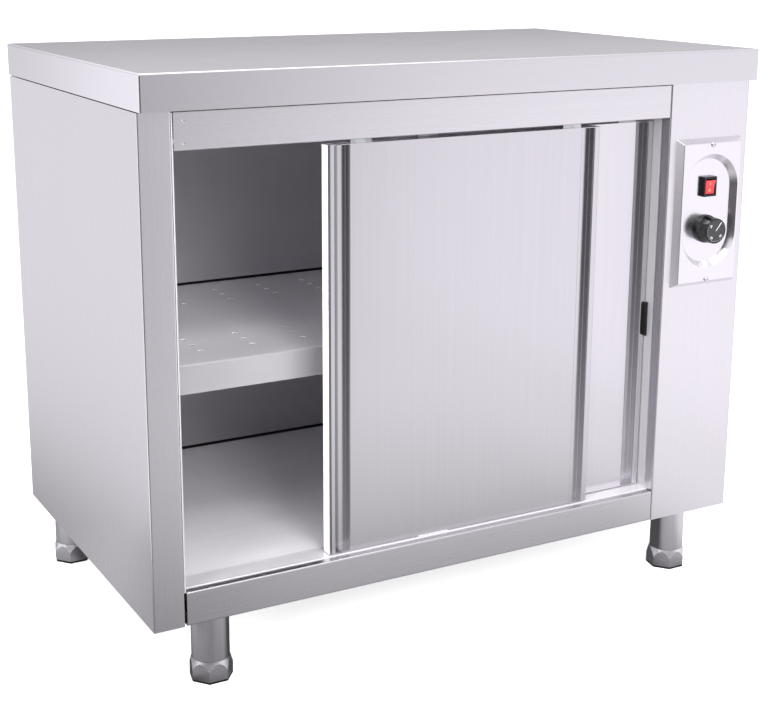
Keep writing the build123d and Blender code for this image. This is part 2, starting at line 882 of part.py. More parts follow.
def control_plate():
    form = raised_block(0, plate_front)
    rims = form.edges().filter_by(Axis.Y, reverse=True).group_by(Axis.Y)[0]
    slopes = form.edges().filter_by(lambda edge: abs((edge @ 1 - edge @ 0).Y) > plate_raise / 2)
    form = fillet(rims + slopes, plate_round)
    wall = plate_sheet / cos(atan(plate_bevel / plate_raise))
    hollow = raised_block(wall, plate_front + plate_sheet)
    hollow -= recess_block(wall, recess_floor + plate_sheet)
    return form - recess_block(0, recess_floor) - hollow - front_holes()


def plate_screws():
    """Pan-head screws with a cross in the head."""
    screws = []
    for x, z in plate_screw_places():
        y0 = plate_front - screw_head
        head = rod(screw_head_radius, (x, y0, z), (x, plate_front, z))
        head = fillet(head.edges().group_by(Axis.Y)[0], screw_head / 2)
        shank = rod(screw_radius, (x, plate_front, z), (x, plate_front + screw_length, z))
        screw = head + shank
        a = cross_width / 2
        b = cross_length / 2
        y1 = y0 + cross_depth
        screw -= block(x - a, x + a, y0, y1, z - b, z + b) + block(x - b, x + b, y0, y1, z - a, z + a)
        screws.append(screw)
    return screws


# ------------------------------------------------------------------ rocker switch
def switch_body():
    x0 = plate_x - bezel_width / 2
    x1 = plate_x + bezel_width / 2
    y0 = recess_floor - bezel_depth
    z0 = switch_middle_z - bezel_height / 2
    z1 = switch_middle_z + bezel_height / 2
    bezel = block(x0, x1, y0, recess_floor, z0, z1)
    bezel = fillet(bezel.edges().group_by(Axis.Y)[0] + bezel.edges().filter_by(Axis.Y), bezel_round)
    can_y = recess_floor + switch_body_depth / 2
    can = Box(switch_body_width, switch_body_depth, switch_body_height)
    can = Pos(plate_x, can_y, switch_middle_z) * can
    y1 = recess_floor + switch_pit
    pit = block(x0 + bezel_side, x1 - bezel_side, y0, y1, z0 + bezel_end, z1 - bezel_end)
    return bezel + can - pit - rocker_pin(pin_play)


def rocker_pin(growth):
    """The rocker's pivot pin, made larger by a growth."""
    half = bezel_width / 2 - bezel_side + rocker_pin_reach + growth
    start = (plate_x - half, rocker_y, switch_middle_z)
    end = (plate_x + half, rocker_y, switch_middle_z)
    return rod(rocker_pin_radius + growth, start, end)


def switch_rocker():
    """A rocker with a hollow front, its lower end pressed in."""
    front = rocker_y - rocker_rise
    back = rocker_y + rocker_back
    z = switch_middle_z
    outline = Polyline(
        (front, z - rocker_half),
        (front + rocker_dip, z),
        (front, z + rocker_half),
        (back, z + rocker_heel),
        (back, z - rocker_heel),
        close=True,
    )
    half = bezel_width / 2 - bezel_side - rocker_play
    rocker = along_x(make_face(outline), plate_x - half, plate_x + half)
    rocker = rocker.rotate(Axis((plate_x, rocker_y, z), (1, 0, 0)), rocker_tilt)
    return rocker + rocker_pin(0)


# ------------------------------------------------------------------ thermostat and knob
def knob():
    y0 = recess_floor - play
    y1 = y0 - knob_depth
    profile = Polyline(
        (plate_x, y0),
        (plate_x + knob_base_radius, y0),
        (plate_x + knob_base_radius, y0 - knob_skirt),
        (plate_x + knob_front_radius, y1),
        (plate_x, y1),
        close=True,
    )
    section = Pos(0, 0, knob_middle_z) * make_face(profile)
    body = revolve(section, Axis((plate_x, 0, knob_middle_z), (0, 1, 0)))
    body = fillet(body.edges().group_by(Axis.Y)[0], knob_round)
    end = (plate_x, y0 - spindle_grip - play, knob_middle_z)
    return body - rod(spindle_radius + spindle_play, (plate_x, y0, knob_middle_z), end)


def thermostat_spindle():
    start = (plate_x, inner_front + spindle_root, knob_middle_z)
    end = (plate_x, recess_floor - play - spindle_grip, knob_middle_z)
    return rod(spindle_radius, start, end)


def thermostat():
    """Thermostat body with its bush, capillary tube and sensing bulb."""
    half = thermostat_size / 2
    z = knob_middle_z
    y1 = inner_front + thermostat_depth
    body = block(plate_x - half, plate_x + half, inner_front, y1, z - half, z + half)
    body += rod(bush_radius, (plate_x, recess_floor + slack, z), (plate_x, inner_front, z))
    socket_end = (plate_x, inner_front + spindle_root + play, z)
    body -= rod(spindle_radius + spindle_play, (plate_x, recess_floor, z), socket_end)
    bulb_x = opening_right - bulb_standoff
    bulb_y = capillary_y + capillary_lead
    route = FilletPolyline(
        (plate_x, capillary_start, z - half),
        (plate_x, capillary_start, capillary_z),
        (plate_x, capillary_y, capillary_z),
        (bulb_x, capillary_y, capillary_z),
        (bulb_x, bulb_y, capillary_z),
        radius=capillary_bend,
    )
    body += round_along(route, capillary_radius)
    body += rod(bulb_radius, (bulb_x, bulb_y, capillary_z), (bulb_x, bulb_y + bulb_length, capillary_z))
    y0 = bulb_y + (bulb_length - bulb_clip) / 2
    y1 = y0 + bulb_clip
    clip = block(bulb_x, opening_right, y0, y1, capillary_z - sheet, capillary_z + sheet)
    return body + clip


# ------------------------------------------------------------------ air heater in the column
def heater_duct():
    """A box on the column's wall, open towards the chamber."""
    t = duct_sheet
    x0 = column_wall_right
    box = block(x0, duct_right, duct_front, duct_back, duct_bottom, duct_top)
    box -= block(x0, duct_right - t, duct_front + t, duct_back - t, duct_bottom + t, duct_top - t)
    box -= rod(shaft_hole_radius, (x0, fan_y, fan_z), (duct_right, fan_y, fan_z))
    y = duct_front + element_margin
    for z in (element_low, element_low + (element_passes - 1) * element_pitch):
        box -= rod(element_radius + element_hole_play, (x0, y, z), (duct_right, y, z))
    return box


def grille(y, z, width, height):
    """A slotted cover on the chamber's side of the column's wall."""
    x0 = opening_right - sheet
    half_w = width / 2
    half_h = height / 2
    cover = block(x0, opening_right, y - half_w, y + half_w, z - half_h, z + half_h)
    pitch = (height - 2 * grille_border) / grille_slots
    length = width - 2 * grille_border
    for row in range(grille_slots):
        slot_z = z - half_h + grille_border + (row + 0.5) * pitch
        place = Plane(origin=(x0, y, slot_z), x_dir=(0, 1, 0), z_dir=(1, 0, 0))
        cover -= extrude(place * SlotOverall(length, grille_slot), sheet)
    return cover


def air_grilles():
    across = 2 * (intake_radius + grille_margin)
    width = outlet_width + 2 * grille_margin
    height = outlet_height + 2 * grille_margin
    return [grille(fan_y, fan_z, across, across), grille(fan_y, outlet_z, width, height)]


def fan_motor():
    half = motor_foot / 2
    x1 = duct_right + motor_plate
    x2 = x1 + motor_length
    motor = block(duct_right, x1, fan_y - half, fan_y + half, fan_z - half, fan_z + half)
    motor += rod(motor_radius, (x1, fan_y, fan_z), (x2, fan_y, fan_z))
    end = (duct_right + shaft_depth + play, fan_y, fan_z)
    return motor - rod(shaft_radius + shaft_play, (duct_right, fan_y, fan_z), end)


def fan_wheel():
    """Radial fan wheel with its disc, hub and shaft."""
    x0 = column_wall_right + fan_setback
    x1 = fan_back - fan_disc
    disc = rod(fan_radius, (x1, fan_y, fan_z), (fan_back, fan_y, fan_z))
    hub = rod(fan_hub_radius, (fan_back - fan_hub, fan_y, fan_z), (fan_back, fan_y, fan_z))
    shaft = rod(shaft_radius, (fan_back - fan_hub, fan_y, fan_z), (duct_right + shaft_depth, fan_y, fan_z))
    wheel = disc + hub + shaft
    radial = fan_radius - fan_blade_inner - fan_disc
    middle = fan_blade_inner + radial / 2
    for number in range(fan_blades):
        turned = Rot(360 * number / fan_blades, 0, 0) * Pos(0, 0, middle) * Rot(fan_blade_lean, 0, 0)
        blade = turned * Box(x1 - x0, fan_blade_sheet, radial)
        wheel += Pos((x0 + x1) / 2, fan_y, fan_z) * blade
    return wheel


def heating_element():
    """A round heating rod bent into passes across the duct, its ends led out sideways."""
    x_middle = column_wall_right + duct_width / 2
    x_end = duct_right + element_tail
    sides = [duct_front + element_margin, duct_back - element_margin]
    points = [(x_end, sides[0], element_low)]
    for number in range(element_passes):
        z = element_low + number * element_pitch
        ends = sides if number % 2 == 0 else sides[::-1]
        points += [(x_middle, y, z) for y in ends]
    points.append((x_end, sides[0], element_low + (element_passes - 1) * element_pitch))
    return round_along(FilletPolyline(*points, radius=element_bend), element_radius)


# ------------------------------------------------------------------ mains entry
def terminal_block():
    half = terminal_width / 2
    y0 = inner_back - terminal_depth
    z1 = terminal_z + terminal_height
    body = block(entry_x - half, entry_x + half, y0, inner_back, terminal_z, z1)
    pitch = terminal_width / terminal_ways
    for way in range(terminal_ways):
        x = entry_x - half + (way + 0.5) * pitch
        y = y0 + terminal_depth / 2
        body -= rod(terminal_hole, (x, y, terminal_z), (x, y, z1))
    return body


def cable_gland():
    """A gland through the back panel, with its nut inside and its cap outside."""
    x = entry_x
    z = gland_z
    end = flange_front + gland_reach
    nut_outside = bar(gland_sides, gland_hex, (x, flange_front, z), (x, flange_front + gland_hex_height, z))
    cap = rod(gland_cap_radius, (x, flange_front, z), (x, end, z))
    cap = fillet(cap.edges().group_by(Axis.Y)[-1], gland_hex_height / 2)
    sleeve = rod(gland_radius, (x, inner_back - gland_inside, z), (x, flange_front, z))
    nut_inside = bar(gland_sides, gland_hex, (x, inner_back - gland_hex_height, z), (x, inner_back, z))
    bore = rod(gland_bore, (x, inner_back - gland_inside, z), (x, end, z))
    return nut_outside + cap + sleeve + nut_inside - bore


# ------------------------------------------------------------------ legs and feet
def leg_tube(x, y):
    """A tube with a threaded plug at its lower end and a plate inside the body."""
    low = foot_height + play
    tube = rod(tube_radius, (x, y, low), (x, y, inner_bottom))
    tube -= rod(tube_radius - tube_wall, (x, y, low + plug_height), (x, y, inner_bottom))
    tube -= rod(stem_radius + stem_play, (x, y, low), (x, y, low + plug_height))
    half = leg_plate / 2
    top = inner_bottom + leg_plate_sheet
    return tube + block(x - half, x + half, y - half, y + half, inner_bottom, top)


def foot_outline(x, y):
    """The foot seen from above, one corner pointing to the back."""
    return Pos(x, y) * RegularPolygon(foot_radius, foot_sides, rotation=90)


def foot(x, y):
    """An adjustable foot: its corners are cut back by a cone, its stem screws into the leg."""
    prism = along_z(foot_outline(x, y), pad_height, foot_height)
    lower = rod(foot_radius, (x, y, 0), (x, y, foot_edge_top))
    cone_height = foot_height - foot_edge_top
    cone = Pos(x, y, foot_edge_top + cone_height / 2) * Cone(foot_radius, foot_cone_top, cone_height)
    stem = rod(stem_radius, (x, y, foot_height), (x, y, foot_height + stem_length))
    return (prism & (lower + cone)) + stem


def foot_pad(x, y):
    return along_z(foot_outline(x, y), 0, pad_height)


# ------------------------------------------------------------------ write every node
os.makedirs("parts", exist_ok=True)

save("worktop", worktop())
save("worktop_board", worktop_board())
save("worktop_channels", *worktop_channels())
save("side_panel_left", side_panel_left())
save("side_panel_right", side_panel_right())
save("back_panel", back_panel())
save("back_screws", *back_screws())
save("bottom_pan", bottom_pan())
save("header", header())
save("bottom_rail", bottom_rail())
save("column_front", column_front())
save("deck", deck())
save("inner_left_wall", inner_left_wall())
save("inner_back_wall", inner_back_wall())
save("inner_roof", inner_roof())
save("column_inner_wall", column_inner_wall())
save("left_insulation", left_insulation())
save("back_insulation", back_insulation())
save("roof_insulation", roof_insulation())
save("floor_insulation", floor_insulation())
save("shelf", shelf())
save("shelf_brackets", *shelf_brackets())
for door in ("outer", "rear"):
    save(f"{door}_door_skin", door_skin(door))
    save(f"{door}_door_back", door_back(door))
    save(f"{door}_door_core", door_core(door))
    save(f"{door}_door_hangers", *door_hangers(door))
    for side, x in zip(("left", "right"), hanger_middles(door)):
        save(f"{door}_wheel_{side}", door_wheel(door, x))
save("top_track", top_track())
save("floor_guide", floor_guide())
save("door_stops", *door_stops())
save("control_plate", control_plate())
save("plate_screws", *plate_screws())
save("switch_body", switch_body())
save("switch_rocker", switch_rocker())
save("knob", knob())
save("thermostat_spindle", thermostat_spindle())
save("thermostat", thermostat())
save("heater_duct", heater_duct())
save("air_grilles", *air_grilles())
save("fan_motor", fan_motor())
save("fan_wheel", fan_wheel())
save("heating_element", heating_element())
save("terminal_block", terminal_block())
save("cable_gland", cable_gland())
save("leg_tubes", *[leg_tube(x, y) for x, y in legs.values()])
for corner, (x, y) in legs.items():
    save(f"foot_{corner}", foot(x, y))
    save(f"foot_pad_{corner}", foot_pad(x, y))
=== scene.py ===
# %% [markdown]
# # A plate warmer cabinet, dressed for a studio picture
#
# The cabinet itself comes from a CAD program: sheet-metal panels, two hung doors, a shelf,
# a control plate and the warm-air heater behind it. Its shapes are finished, so this lesson
# is mostly about finishes: brushed stainless steel that looks brushed, a knob with a printed
# scale, and the light that steel needs. Only the knob and the rocker of the switch are
# modelled again here, because a hand-held piece shows more than a CAD outline has.

from math import cos, pi, radians, sin

import bmesh
import bpy
import numpy as np
from mathutils import Matrix, Vector


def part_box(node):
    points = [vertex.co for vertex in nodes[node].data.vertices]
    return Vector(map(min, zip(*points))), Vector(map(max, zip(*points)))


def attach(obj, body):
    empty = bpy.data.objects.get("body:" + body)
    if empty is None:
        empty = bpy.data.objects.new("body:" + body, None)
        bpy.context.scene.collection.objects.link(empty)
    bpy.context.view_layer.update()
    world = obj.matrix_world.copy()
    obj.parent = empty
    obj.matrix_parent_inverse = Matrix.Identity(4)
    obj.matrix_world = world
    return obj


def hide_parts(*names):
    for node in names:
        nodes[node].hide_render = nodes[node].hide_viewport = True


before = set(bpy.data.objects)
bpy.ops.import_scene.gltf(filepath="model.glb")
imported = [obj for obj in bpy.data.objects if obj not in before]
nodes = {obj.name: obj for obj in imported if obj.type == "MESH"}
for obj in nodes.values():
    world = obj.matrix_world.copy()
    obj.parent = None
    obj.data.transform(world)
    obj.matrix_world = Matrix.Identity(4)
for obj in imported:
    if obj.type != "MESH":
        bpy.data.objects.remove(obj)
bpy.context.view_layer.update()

# %% [markdown]
# ## Camera
#
# The cabinet is seen from the front and its left, from a little over the height of its top.
# A camera can be aimed with a Track To constraint, but then its place and its turn hide behind
# the target. Here the turn is written as three plain angles, and the matrix is built in the
# order in which a tripod is set up: stand there, turn right, tilt down, level the camera.
# The picture's middle lies below the lens axis, which is what a vertical shift does.

# %% Camera
camera_place = Vector((-1.10783, -2.01593, 1.00788))
turn_right = radians(28.992)
tilt_down = radians(13.629)
roll = radians(0.265)
sensor_width, focal_length = 36.0, 68.83
lens_shift = -0.0833

lens = bpy.data.cameras.new("studio_lens")
lens.sensor_width = sensor_width
lens.lens = focal_length
lens.shift_y = lens_shift
camera = bpy.data.objects.new("studio_camera", lens)
aimed = Matrix.Rotation(-turn_right, 4, "Z") @ Matrix.Rotation(pi / 2 - tilt_down, 4, "X")
camera.matrix_world = Matrix.Translation(camera_place) @ aimed @ Matrix.Rotation(roll, 4, "Z")
bpy.context.scene.collection.objects.link(camera)
bpy.context.scene.camera = camera
print("lens", lens.lens, "mm, shift", lens.shift_y)

# %% [markdown]
# ## Node trees
#
# A material is a tree of nodes, and so is the light of the room. A tree could be wired up by
# hand in the Shader Editor, but one in code can be read, copied and changed by one number.
# A few small functions make the nodes that every tree here needs.

# %% Numbers and colours in a node tree
def add_node(tree, kind, **settings):
    """A node of this kind, with its settings and its unlinked inputs filled in by name."""
    made = tree.nodes.new(kind)
    for name, value in settings.items():
        if hasattr(made, name):
            setattr(made, name, value)
        else:
            made.inputs[name.replace("_", " ")].default_value = value
    return made


def remap(tree, value, source, target=(0, 1), smooth=True):
    """A socket whose value runs over target while the given value runs over source."""
    made = tree.nodes.new("ShaderNodeMapRange")
    made.interpolation_type = "SMOOTHSTEP" if smooth else "LINEAR"
    for name, number in zip(("From Min", "From Max", "To Min", "To Max"), (*source, *target)):
        made.inputs[name].default_value = number
    tree.links.new(value, made.inputs["Value"])
    return made.outputs["Result"]


def blend(tree, share, first, second):
    """A colour between the first and the second, by share. Each is a colour or a socket.

    A Mix node has sockets for every kind of value: 6 and 7 take its two colours, 2 gives one."""
    made = tree.nodes.new("ShaderNodeMix")
    made.data_type = "RGBA"
    tree.links.new(share, made.inputs["Factor"])
    for place, colour in ((6, first), (7, second)):
        if isinstance(colour, bpy.types.NodeSocket):
            tree.links.new(colour, made.inputs[place])
        else:
            made.inputs[place].default_value = (*colour, 1.0)
    return made.outputs[2]


def combine(tree, operation, first, second=0.0):
    """A Math node on two values, each a number or a socket. Some operations use one only."""
    made = tree.nodes.new("ShaderNodeMath")
    made.operation = operation
    for place, value in enumerate((first, second)):
        if isinstance(value, bpy.types.NodeSocket):
            tree.links.new(value, made.inputs[place])
        else:
            made.inputs[place].default_value = value
    return made.outputs[0]


# %% Directions in a node tree
def vector_step(tree, operation, value, second=None):
    """A Vector Math node on a vector and, where it takes one, a constant or another socket."""
    made = add_node(tree, "ShaderNodeVectorMath", operation=operation)
    tree.links.new(value, made.inputs[0])
    if isinstance(second, bpy.types.NodeSocket):
        tree.links.new(second, made.inputs[1])
    elif second is not None:
        made.inputs[1].default_value = second
    return made.outputs["Value" if operation in ("LENGTH", "DOT_PRODUCT") else "Vector"]


def facing(tree, direction, aim):
    """How nearly the direction looks the way of aim: 1 along it, 0 across it, -1 away."""
    return vector_step(tree, "DOT_PRODUCT", direction, Vector(aim).normalized())


# %% [markdown]
# ## The room
#
# Bare steel has hardly a colour of its own: it shows the room. So it is the room that gets
# lit, and not the cabinet: pale floor, a bright ceiling, and walls that are darker at one end
# and at the back, so that the panels' edges and folds draw themselves. Walls could be
# modelled, but a smooth gradient on the world gives the same reflections and casts no
# shadows. The camera alone sees plain white there.

# %% The room
dark_end, bright_side = (0.05, 0.05, 0.06), (1.0, 0.99, 1.01)
back_wall, ceiling = (0.19, 0.186, 0.195), (1.0, 0.98, 1.02)
backdrop_white = (1.0, 1.0, 1.0)
towards_dark_end, towards_back, upwards = (-0.485, -0.875, 0), (0.62, 0.78, 0), (0, 0, 1)

room = bpy.data.worlds.new("studio_room")
bpy.context.scene.world = room
room.use_nodes = True
tree = room.node_tree
direction = add_node(tree, "ShaderNodeTexCoord").outputs["Generated"]
in_dark_end = remap(tree, facing(tree, direction, towards_dark_end), (0.28, 0.98), smooth=False)
in_back = remap(tree, facing(tree, direction, towards_back), (0.1, 0.95))
in_ceiling = remap(tree, facing(tree, direction, upwards), (0.03, 0.34))
walls = blend(tree, in_dark_end, bright_side, dark_end)
walls = blend(tree, in_back, walls, back_wall)
seen_in_steel = blend(tree, in_ceiling, walls, ceiling)
seen_by_camera = add_node(tree, "ShaderNodeLightPath").outputs["Is Camera Ray"]
room_colour = blend(tree, seen_by_camera, seen_in_steel, backdrop_white)
tree.links.new(room_colour, tree.nodes["Background"].inputs["Color"])
bpy.context.scene.view_settings.view_transform = "Standard"
bpy.context.scene.view_settings.look = "None"
print("room is lit by a gradient of", len(tree.nodes), "nodes")

# %% [markdown]
# ## Soft boxes
#
# A soft box is a lamp behind a sheet of white cloth: it is large, so its shadows are soft.
# A glowing plane would do, but an area lamp gives the same light with less noise. Two of the
# boxes only fill the dark hollow inside and the left edges. Steel would show them as hard white
# rectangles, so they are hidden from reflections.

# %% Soft boxes
def soft_box(name, place, aim, size, brightness, in_reflections):
    """An area lamp at place, facing aim, that looks as bright as a white card times brightness.

    A lamp's power is its brightness times its area times pi."""
    lamp = bpy.data.lights.new(name, "AREA")
    lamp.shape = "RECTANGLE"
    lamp.size, lamp.size_y = size
    lamp.energy = brightness * size[0] * size[1] * pi
    made = bpy.data.objects.new(name, lamp)
    aimed = (Vector(aim) - Vector(place)).to_track_quat("-Z", "Y")
    made.matrix_world = Matrix.Translation(place) @ aimed.to_matrix().to_4x4()
    made.visible_glossy = in_reflections
    bpy.context.scene.collection.objects.link(made)


# where it stands, where it points, its size, its brightness, whether reflections show it
soft_boxes = {
    "box_over": ((0.1, -0.5, 3.0), (0.1, -0.1, 0.8), (2.4, 1.6), 1.6, True),
    "box_left": ((-3.2, -0.6, 1.35), (0.0, -0.2, 0.6), (1.0, 2.2), 0.6, True),
    "box_front": ((-0.35, -3.2, 1.75), (-0.25, 0.0, 0.4), (1.2, 0.9), 16.0, False),
    "box_low": ((-3.0, -1.7, 1.0), (-0.2, -0.2, 0.5), (1.2, 1.6), 16.0, False),
    "box_high": ((-0.4, -2.0, 2.9), (-0.2, 0.0, 0.3), (1.4, 0.6), 8.0, True),
}
for name, settings in soft_boxes.items():
    soft_box(name, *settings)
print(len(soft_boxes), "soft boxes")

# %% [markdown]
# ## Two floors
#
# The floor the camera sees is white paper. The floor that the steel sees glows with a painted
# shadow that is darker round the cabinet's feet, like a grey cloth lying there: without it the
# panels have no weight at their lower ends. One floor could not be both, so they are two sheets
# less than half a millimetre apart, and each is hidden from the other's rays.

# %% Two sheets
def mesh_object(name, points, faces, smooth=True):
    """An object whose mesh has these points, in metres, and these faces."""
    mesh = bpy.data.meshes.new(name)
    mesh.from_pydata(np.asarray(points).reshape(-1, 3).tolist(), [], np.asarray(faces).tolist())
    mesh.update()
    mesh.polygons.foreach_set("use_smooth", np.full(len(mesh.polygons), smooth))
    made = bpy.data.objects.new(name, mesh)
    bpy.context.scene.collection.objects.link(made)
    return made


floor_reach = 40.0
cloth_lift = 0.0004
corners = floor_reach * np.array([(-1, -1, 0), (1, -1, 0), (1, 1, 0), (-1, 1, 0)])
floor = mesh_object("studio_floor", corners, [(0, 1, 2, 3)], smooth=False)
cloth = mesh_object("studio_floor_in_steel", corners + (0, 0, cloth_lift), [(0, 1, 2, 3)], smooth=False)
floor.visible_glossy = False
for way in ("camera", "diffuse", "transmission", "shadow", "volume_scatter"):
    setattr(cloth, f"visible_{way}", False)
print("floors", 2 * floor_reach, "m wide")

# %% White paper, and a glowing sheet whose colour is painted shade
def start_material(name, **sockets):
    """A new material and its tree, with these numbers or colours set on the shader itself."""
    made = bpy.data.materials.new(name)
    made.use_nodes = True
    tree = made.node_tree
    shader = tree.nodes["Principled BSDF"]
    for socket, value in sockets.items():
        value = (*value, 1.0) if isinstance(value, tuple) else value
        shader.inputs[socket.replace("_", " ")].default_value = value
    return made, tree, shader


dull = {"Roughness": 1.0, "Specular_IOR_Level": 0.0}
paper, _, _ = start_material("white_paper", Base_Color=(0.95, 0.95, 0.95),
                             Emission_Color=(1.0, 1.0, 1.0), Emission_Strength=0.6, **dull)
# The sheet the steel sees is black, and its glow, set below, is painted shadow and painted light.
painted_shade_glow, tree, cloth_shader = start_material("floor_glow_painted_shade", Base_Color=(0, 0, 0),
                                                Emission_Strength=0.98, **dull)
floor.data.materials.append(paper)
cloth.data.materials.append(painted_shade_glow)
print("floor finishes:", paper.name, painted_shade_glow.name)

# %% [markdown]
# ### How bright the cloth is
#
# A real cloth takes its shades from the lamps and from the cabinet's own shadow. This one is
# black and glows, so its brightness can be written down, as terms that are multiplied. A
# painted image would do the same and would have to be stored. The first term is the shadow:
# darkest under the cabinet's edge and gone three metres away. The distance is measured from a
# rectangle a little smaller than the cabinet, and counts four times to the sides.

# %% The shadow round the cabinet
half_footprint = (0.44, 0.25, 0)
quicker_sideways = (4, 1, 1)
shadow_length = 3.0


def ramp(tree, value, stops):
    """A smooth run of greys: stops are (place from 0 to 1, brightness)."""
    made = tree.nodes.new("ShaderNodeValToRGB")
    tree.links.new(value, made.inputs[0])
    points = made.color_ramp.elements
    while len(points) < len(stops):
        points.new(0.5)
    for point, (place, grey) in zip(points, stops):
        point.position = place
        point.color = (grey, 0.99 * grey, 1.01 * grey, 1.0)
    return made.outputs["Color"]


spot = add_node(tree, "ShaderNodeTexCoord").outputs["Object"]
beyond = vector_step(tree, "SUBTRACT", vector_step(tree, "ABSOLUTE", spot), half_footprint)
beyond = vector_step(tree, "MAXIMUM", beyond, (0, 0, 0))
away = vector_step(tree, "LENGTH", vector_step(tree, "MULTIPLY", beyond, quicker_sideways))
shadow = ramp(tree, remap(tree, away, (0, shadow_length), smooth=False),
              [(0, 0.08), (0.02, 0.36), (0.09, 0.52), (0.17, 0.70), (0.4, 0.90), (1.0, 1.0)])
print("shadow fades over", shadow_length, "m")

# %% [markdown]
# The second term goes round the room, by the heading from a place beside the left panel, and
# paints shade on the floor towards the room's dark end. A painted patch of light, as bright as
# a white card, lies on it to the left of the cabinet, and the left panel shows it. The third
# term paints light and shade the same way for the doors and the front, by the heading from a
# place before them. The last one paints the floor lighter from left to right close to the
# cabinet.

# %% Painted light and shade round the room
beside_left_panel, before_doors = (-0.72, 0.3, 0), (-0.1, -0.3, 0)
to_dark_corner, to_front_right = (-0.47, -0.88, 0), (0.82, -0.57, 0)
painted_card_light = (1.35, 1.35, 1.37)


def heading_from(tree, spot, place):
    """The direction in which the spot lies from the place."""
    return vector_step(tree, "NORMALIZE", vector_step(tree, "SUBTRACT", spot, place))


def separate(tree, vector):
    """The three parts of a vector."""
    made = tree.nodes.new("ShaderNodeSeparateXYZ")
    tree.links.new(vector, made.inputs[0])
    return made.outputs


x, y, _ = separate(tree, spot)
heading = facing(tree, heading_from(tree, spot, beside_left_panel), to_dark_corner)
round_room = ramp(tree, remap(tree, heading, (-1, 1), smooth=False),
                  [(0, 0.8), (0.2, 0.9), (0.6, 1.05), (0.74, 1.15), (0.86, 0.75), (0.93, 0.3), (1.0, 0.1)])
on_painted_card = combine(tree, "MULTIPLY", remap(tree, x, (-0.8, -1.1)), remap(tree, y, (-0.9, -0.5)))
on_painted_card = combine(tree, "MULTIPLY", on_painted_card, remap(tree, y, (0.4, 0.0)))
round_room = blend(tree, on_painted_card, round_room, painted_card_light)
print("heading from beside the left panel:", beside_left_panel)

# %% Painted light and shade before the doors
heading = facing(tree, heading_from(tree, spot, before_doors), to_front_right)
to_right = ramp(tree, remap(tree, heading, (0, 1), smooth=False),
                [(0, 1.0), (0.35, 1.0), (0.60, 0.50), (0.70, 0.60), (0.80, 0.78), (0.91, 1.0), (1.0, 1.12)])
side_to_side = blend(tree, remap(tree, away, (0.6, 3.0)), (1, 1, 1), to_right)
print("heading from before the doors:", before_doors)

# %% Painted lighter from left to right, and all the terms together
beside = remap(tree, x, (-0.6, 0.6), (0.68, 1.22), smooth=False)
close = remap(tree, away, (0.3, 1.8), (1, 0))
across = combine(tree, "MULTIPLY", close, combine(tree, "SUBTRACT", beside, 1.0))
across = combine(tree, "ADD", across, 1.0)

glow = vector_step(tree, "MULTIPLY", shadow, round_room)
glow = vector_step(tree, "MULTIPLY", glow, side_to_side)
glow = vector_step(tree, "MULTIPLY", glow, across)
tree.links.new(glow, cloth_shader.inputs["Emission Color"])
print("the cloth's tree has", len(tree.nodes), "nodes")

# %% [markdown]
# ## Materials
#
# Every finish below is made of nodes alone. An image would blur close up and has to be laid
# out on each panel. A pattern that reads Object coordinates, which are metres here, has the
# same size on every panel: a grain of half a millimetre is half a millimetre everywhere.
# Four helpers give a place on the object, a cloud of noise there, relief from it, and a tint
# and a gloss that follow it.

# %% Patterns and relief
def place_on_object(tree, stretch=(1, 1, 1), shift=(0, 0, 0)):
    """Object coordinates, stretched so that one unit is 1 / stretch metres."""
    mapping = tree.nodes.new("ShaderNodeMapping")
    mapping.inputs["Scale"].default_value = stretch
    mapping.inputs["Location"].default_value = shift
    tree.links.new(add_node(tree, "ShaderNodeTexCoord").outputs["Object"], mapping.inputs["Vector"])
    return mapping.outputs["Vector"]


def cloud(tree, stretch, detail=2.0, shift=(0, 0, 0), roughness=0.5):
    """Noise from 0 to 1 whose lumps are 1 / stretch metres long each way."""
    made = add_node(tree, "ShaderNodeTexNoise", Scale=1.0, Detail=detail, Roughness=roughness)
    tree.links.new(place_on_object(tree, stretch, shift), made.inputs["Vector"])
    return made.outputs["Fac"]


def raise_relief(tree, shader, height, depth, strength=1.0):
    """Bumps of this depth in metres where the height runs from 0 to 1."""
    made = add_node(tree, "ShaderNodeBump", Strength=strength, Distance=depth)
    tree.links.new(height, made.inputs["Height"])
    tree.links.new(made.outputs["Normal"], shader.inputs["Normal"])


def tint_and_gloss(tree, shader, tint_by, colours, gloss_by, roughness, smooth=True):
    """Colour from the first to the second of colours, and roughness from the first to the
    second number, each while its pattern runs over the (low, high) given with it."""
    (tint, tint_reach), (gloss, gloss_reach) = tint_by, gloss_by
    tree.links.new(blend(tree, remap(tree, tint, tint_reach), *colours), shader.inputs["Base Color"])
    rough = remap(tree, gloss, gloss_reach, roughness, smooth=smooth)
    tree.links.new(rough, shader.inputs["Roughness"])


# %% [markdown]
# ### Brushed stainless steel
#
# The mill draws the sheet under an abrasive belt, which leaves long hair-fine scratches all
# one way. An image of steel could be wrapped on it, but it would repeat and blur. Noise that
# is stretched a hundredfold along the belt gives scratches at any size. The same scratches
# change the colour a little, the roughness more, and stand up as relief a few thousandths of
# a millimetre high. A second, wider noise is the faint cloudiness of a rolled sheet.

# %% Brushed stainless steel
steel_pale = np.array((0.80, 0.785, 0.815))
hair_stretch = {"x": (7, 1100, 1100), "y": (1100, 7, 1100), "z": (1100, 1100, 7)}
streak_stretch = {"x": (2.4, 260, 260), "y": (260, 2.4, 260), "z": (260, 260, 2.4)}
cloud_stretch = (2.2, 2.2, 1.6)
scratch_depth = 0.00002


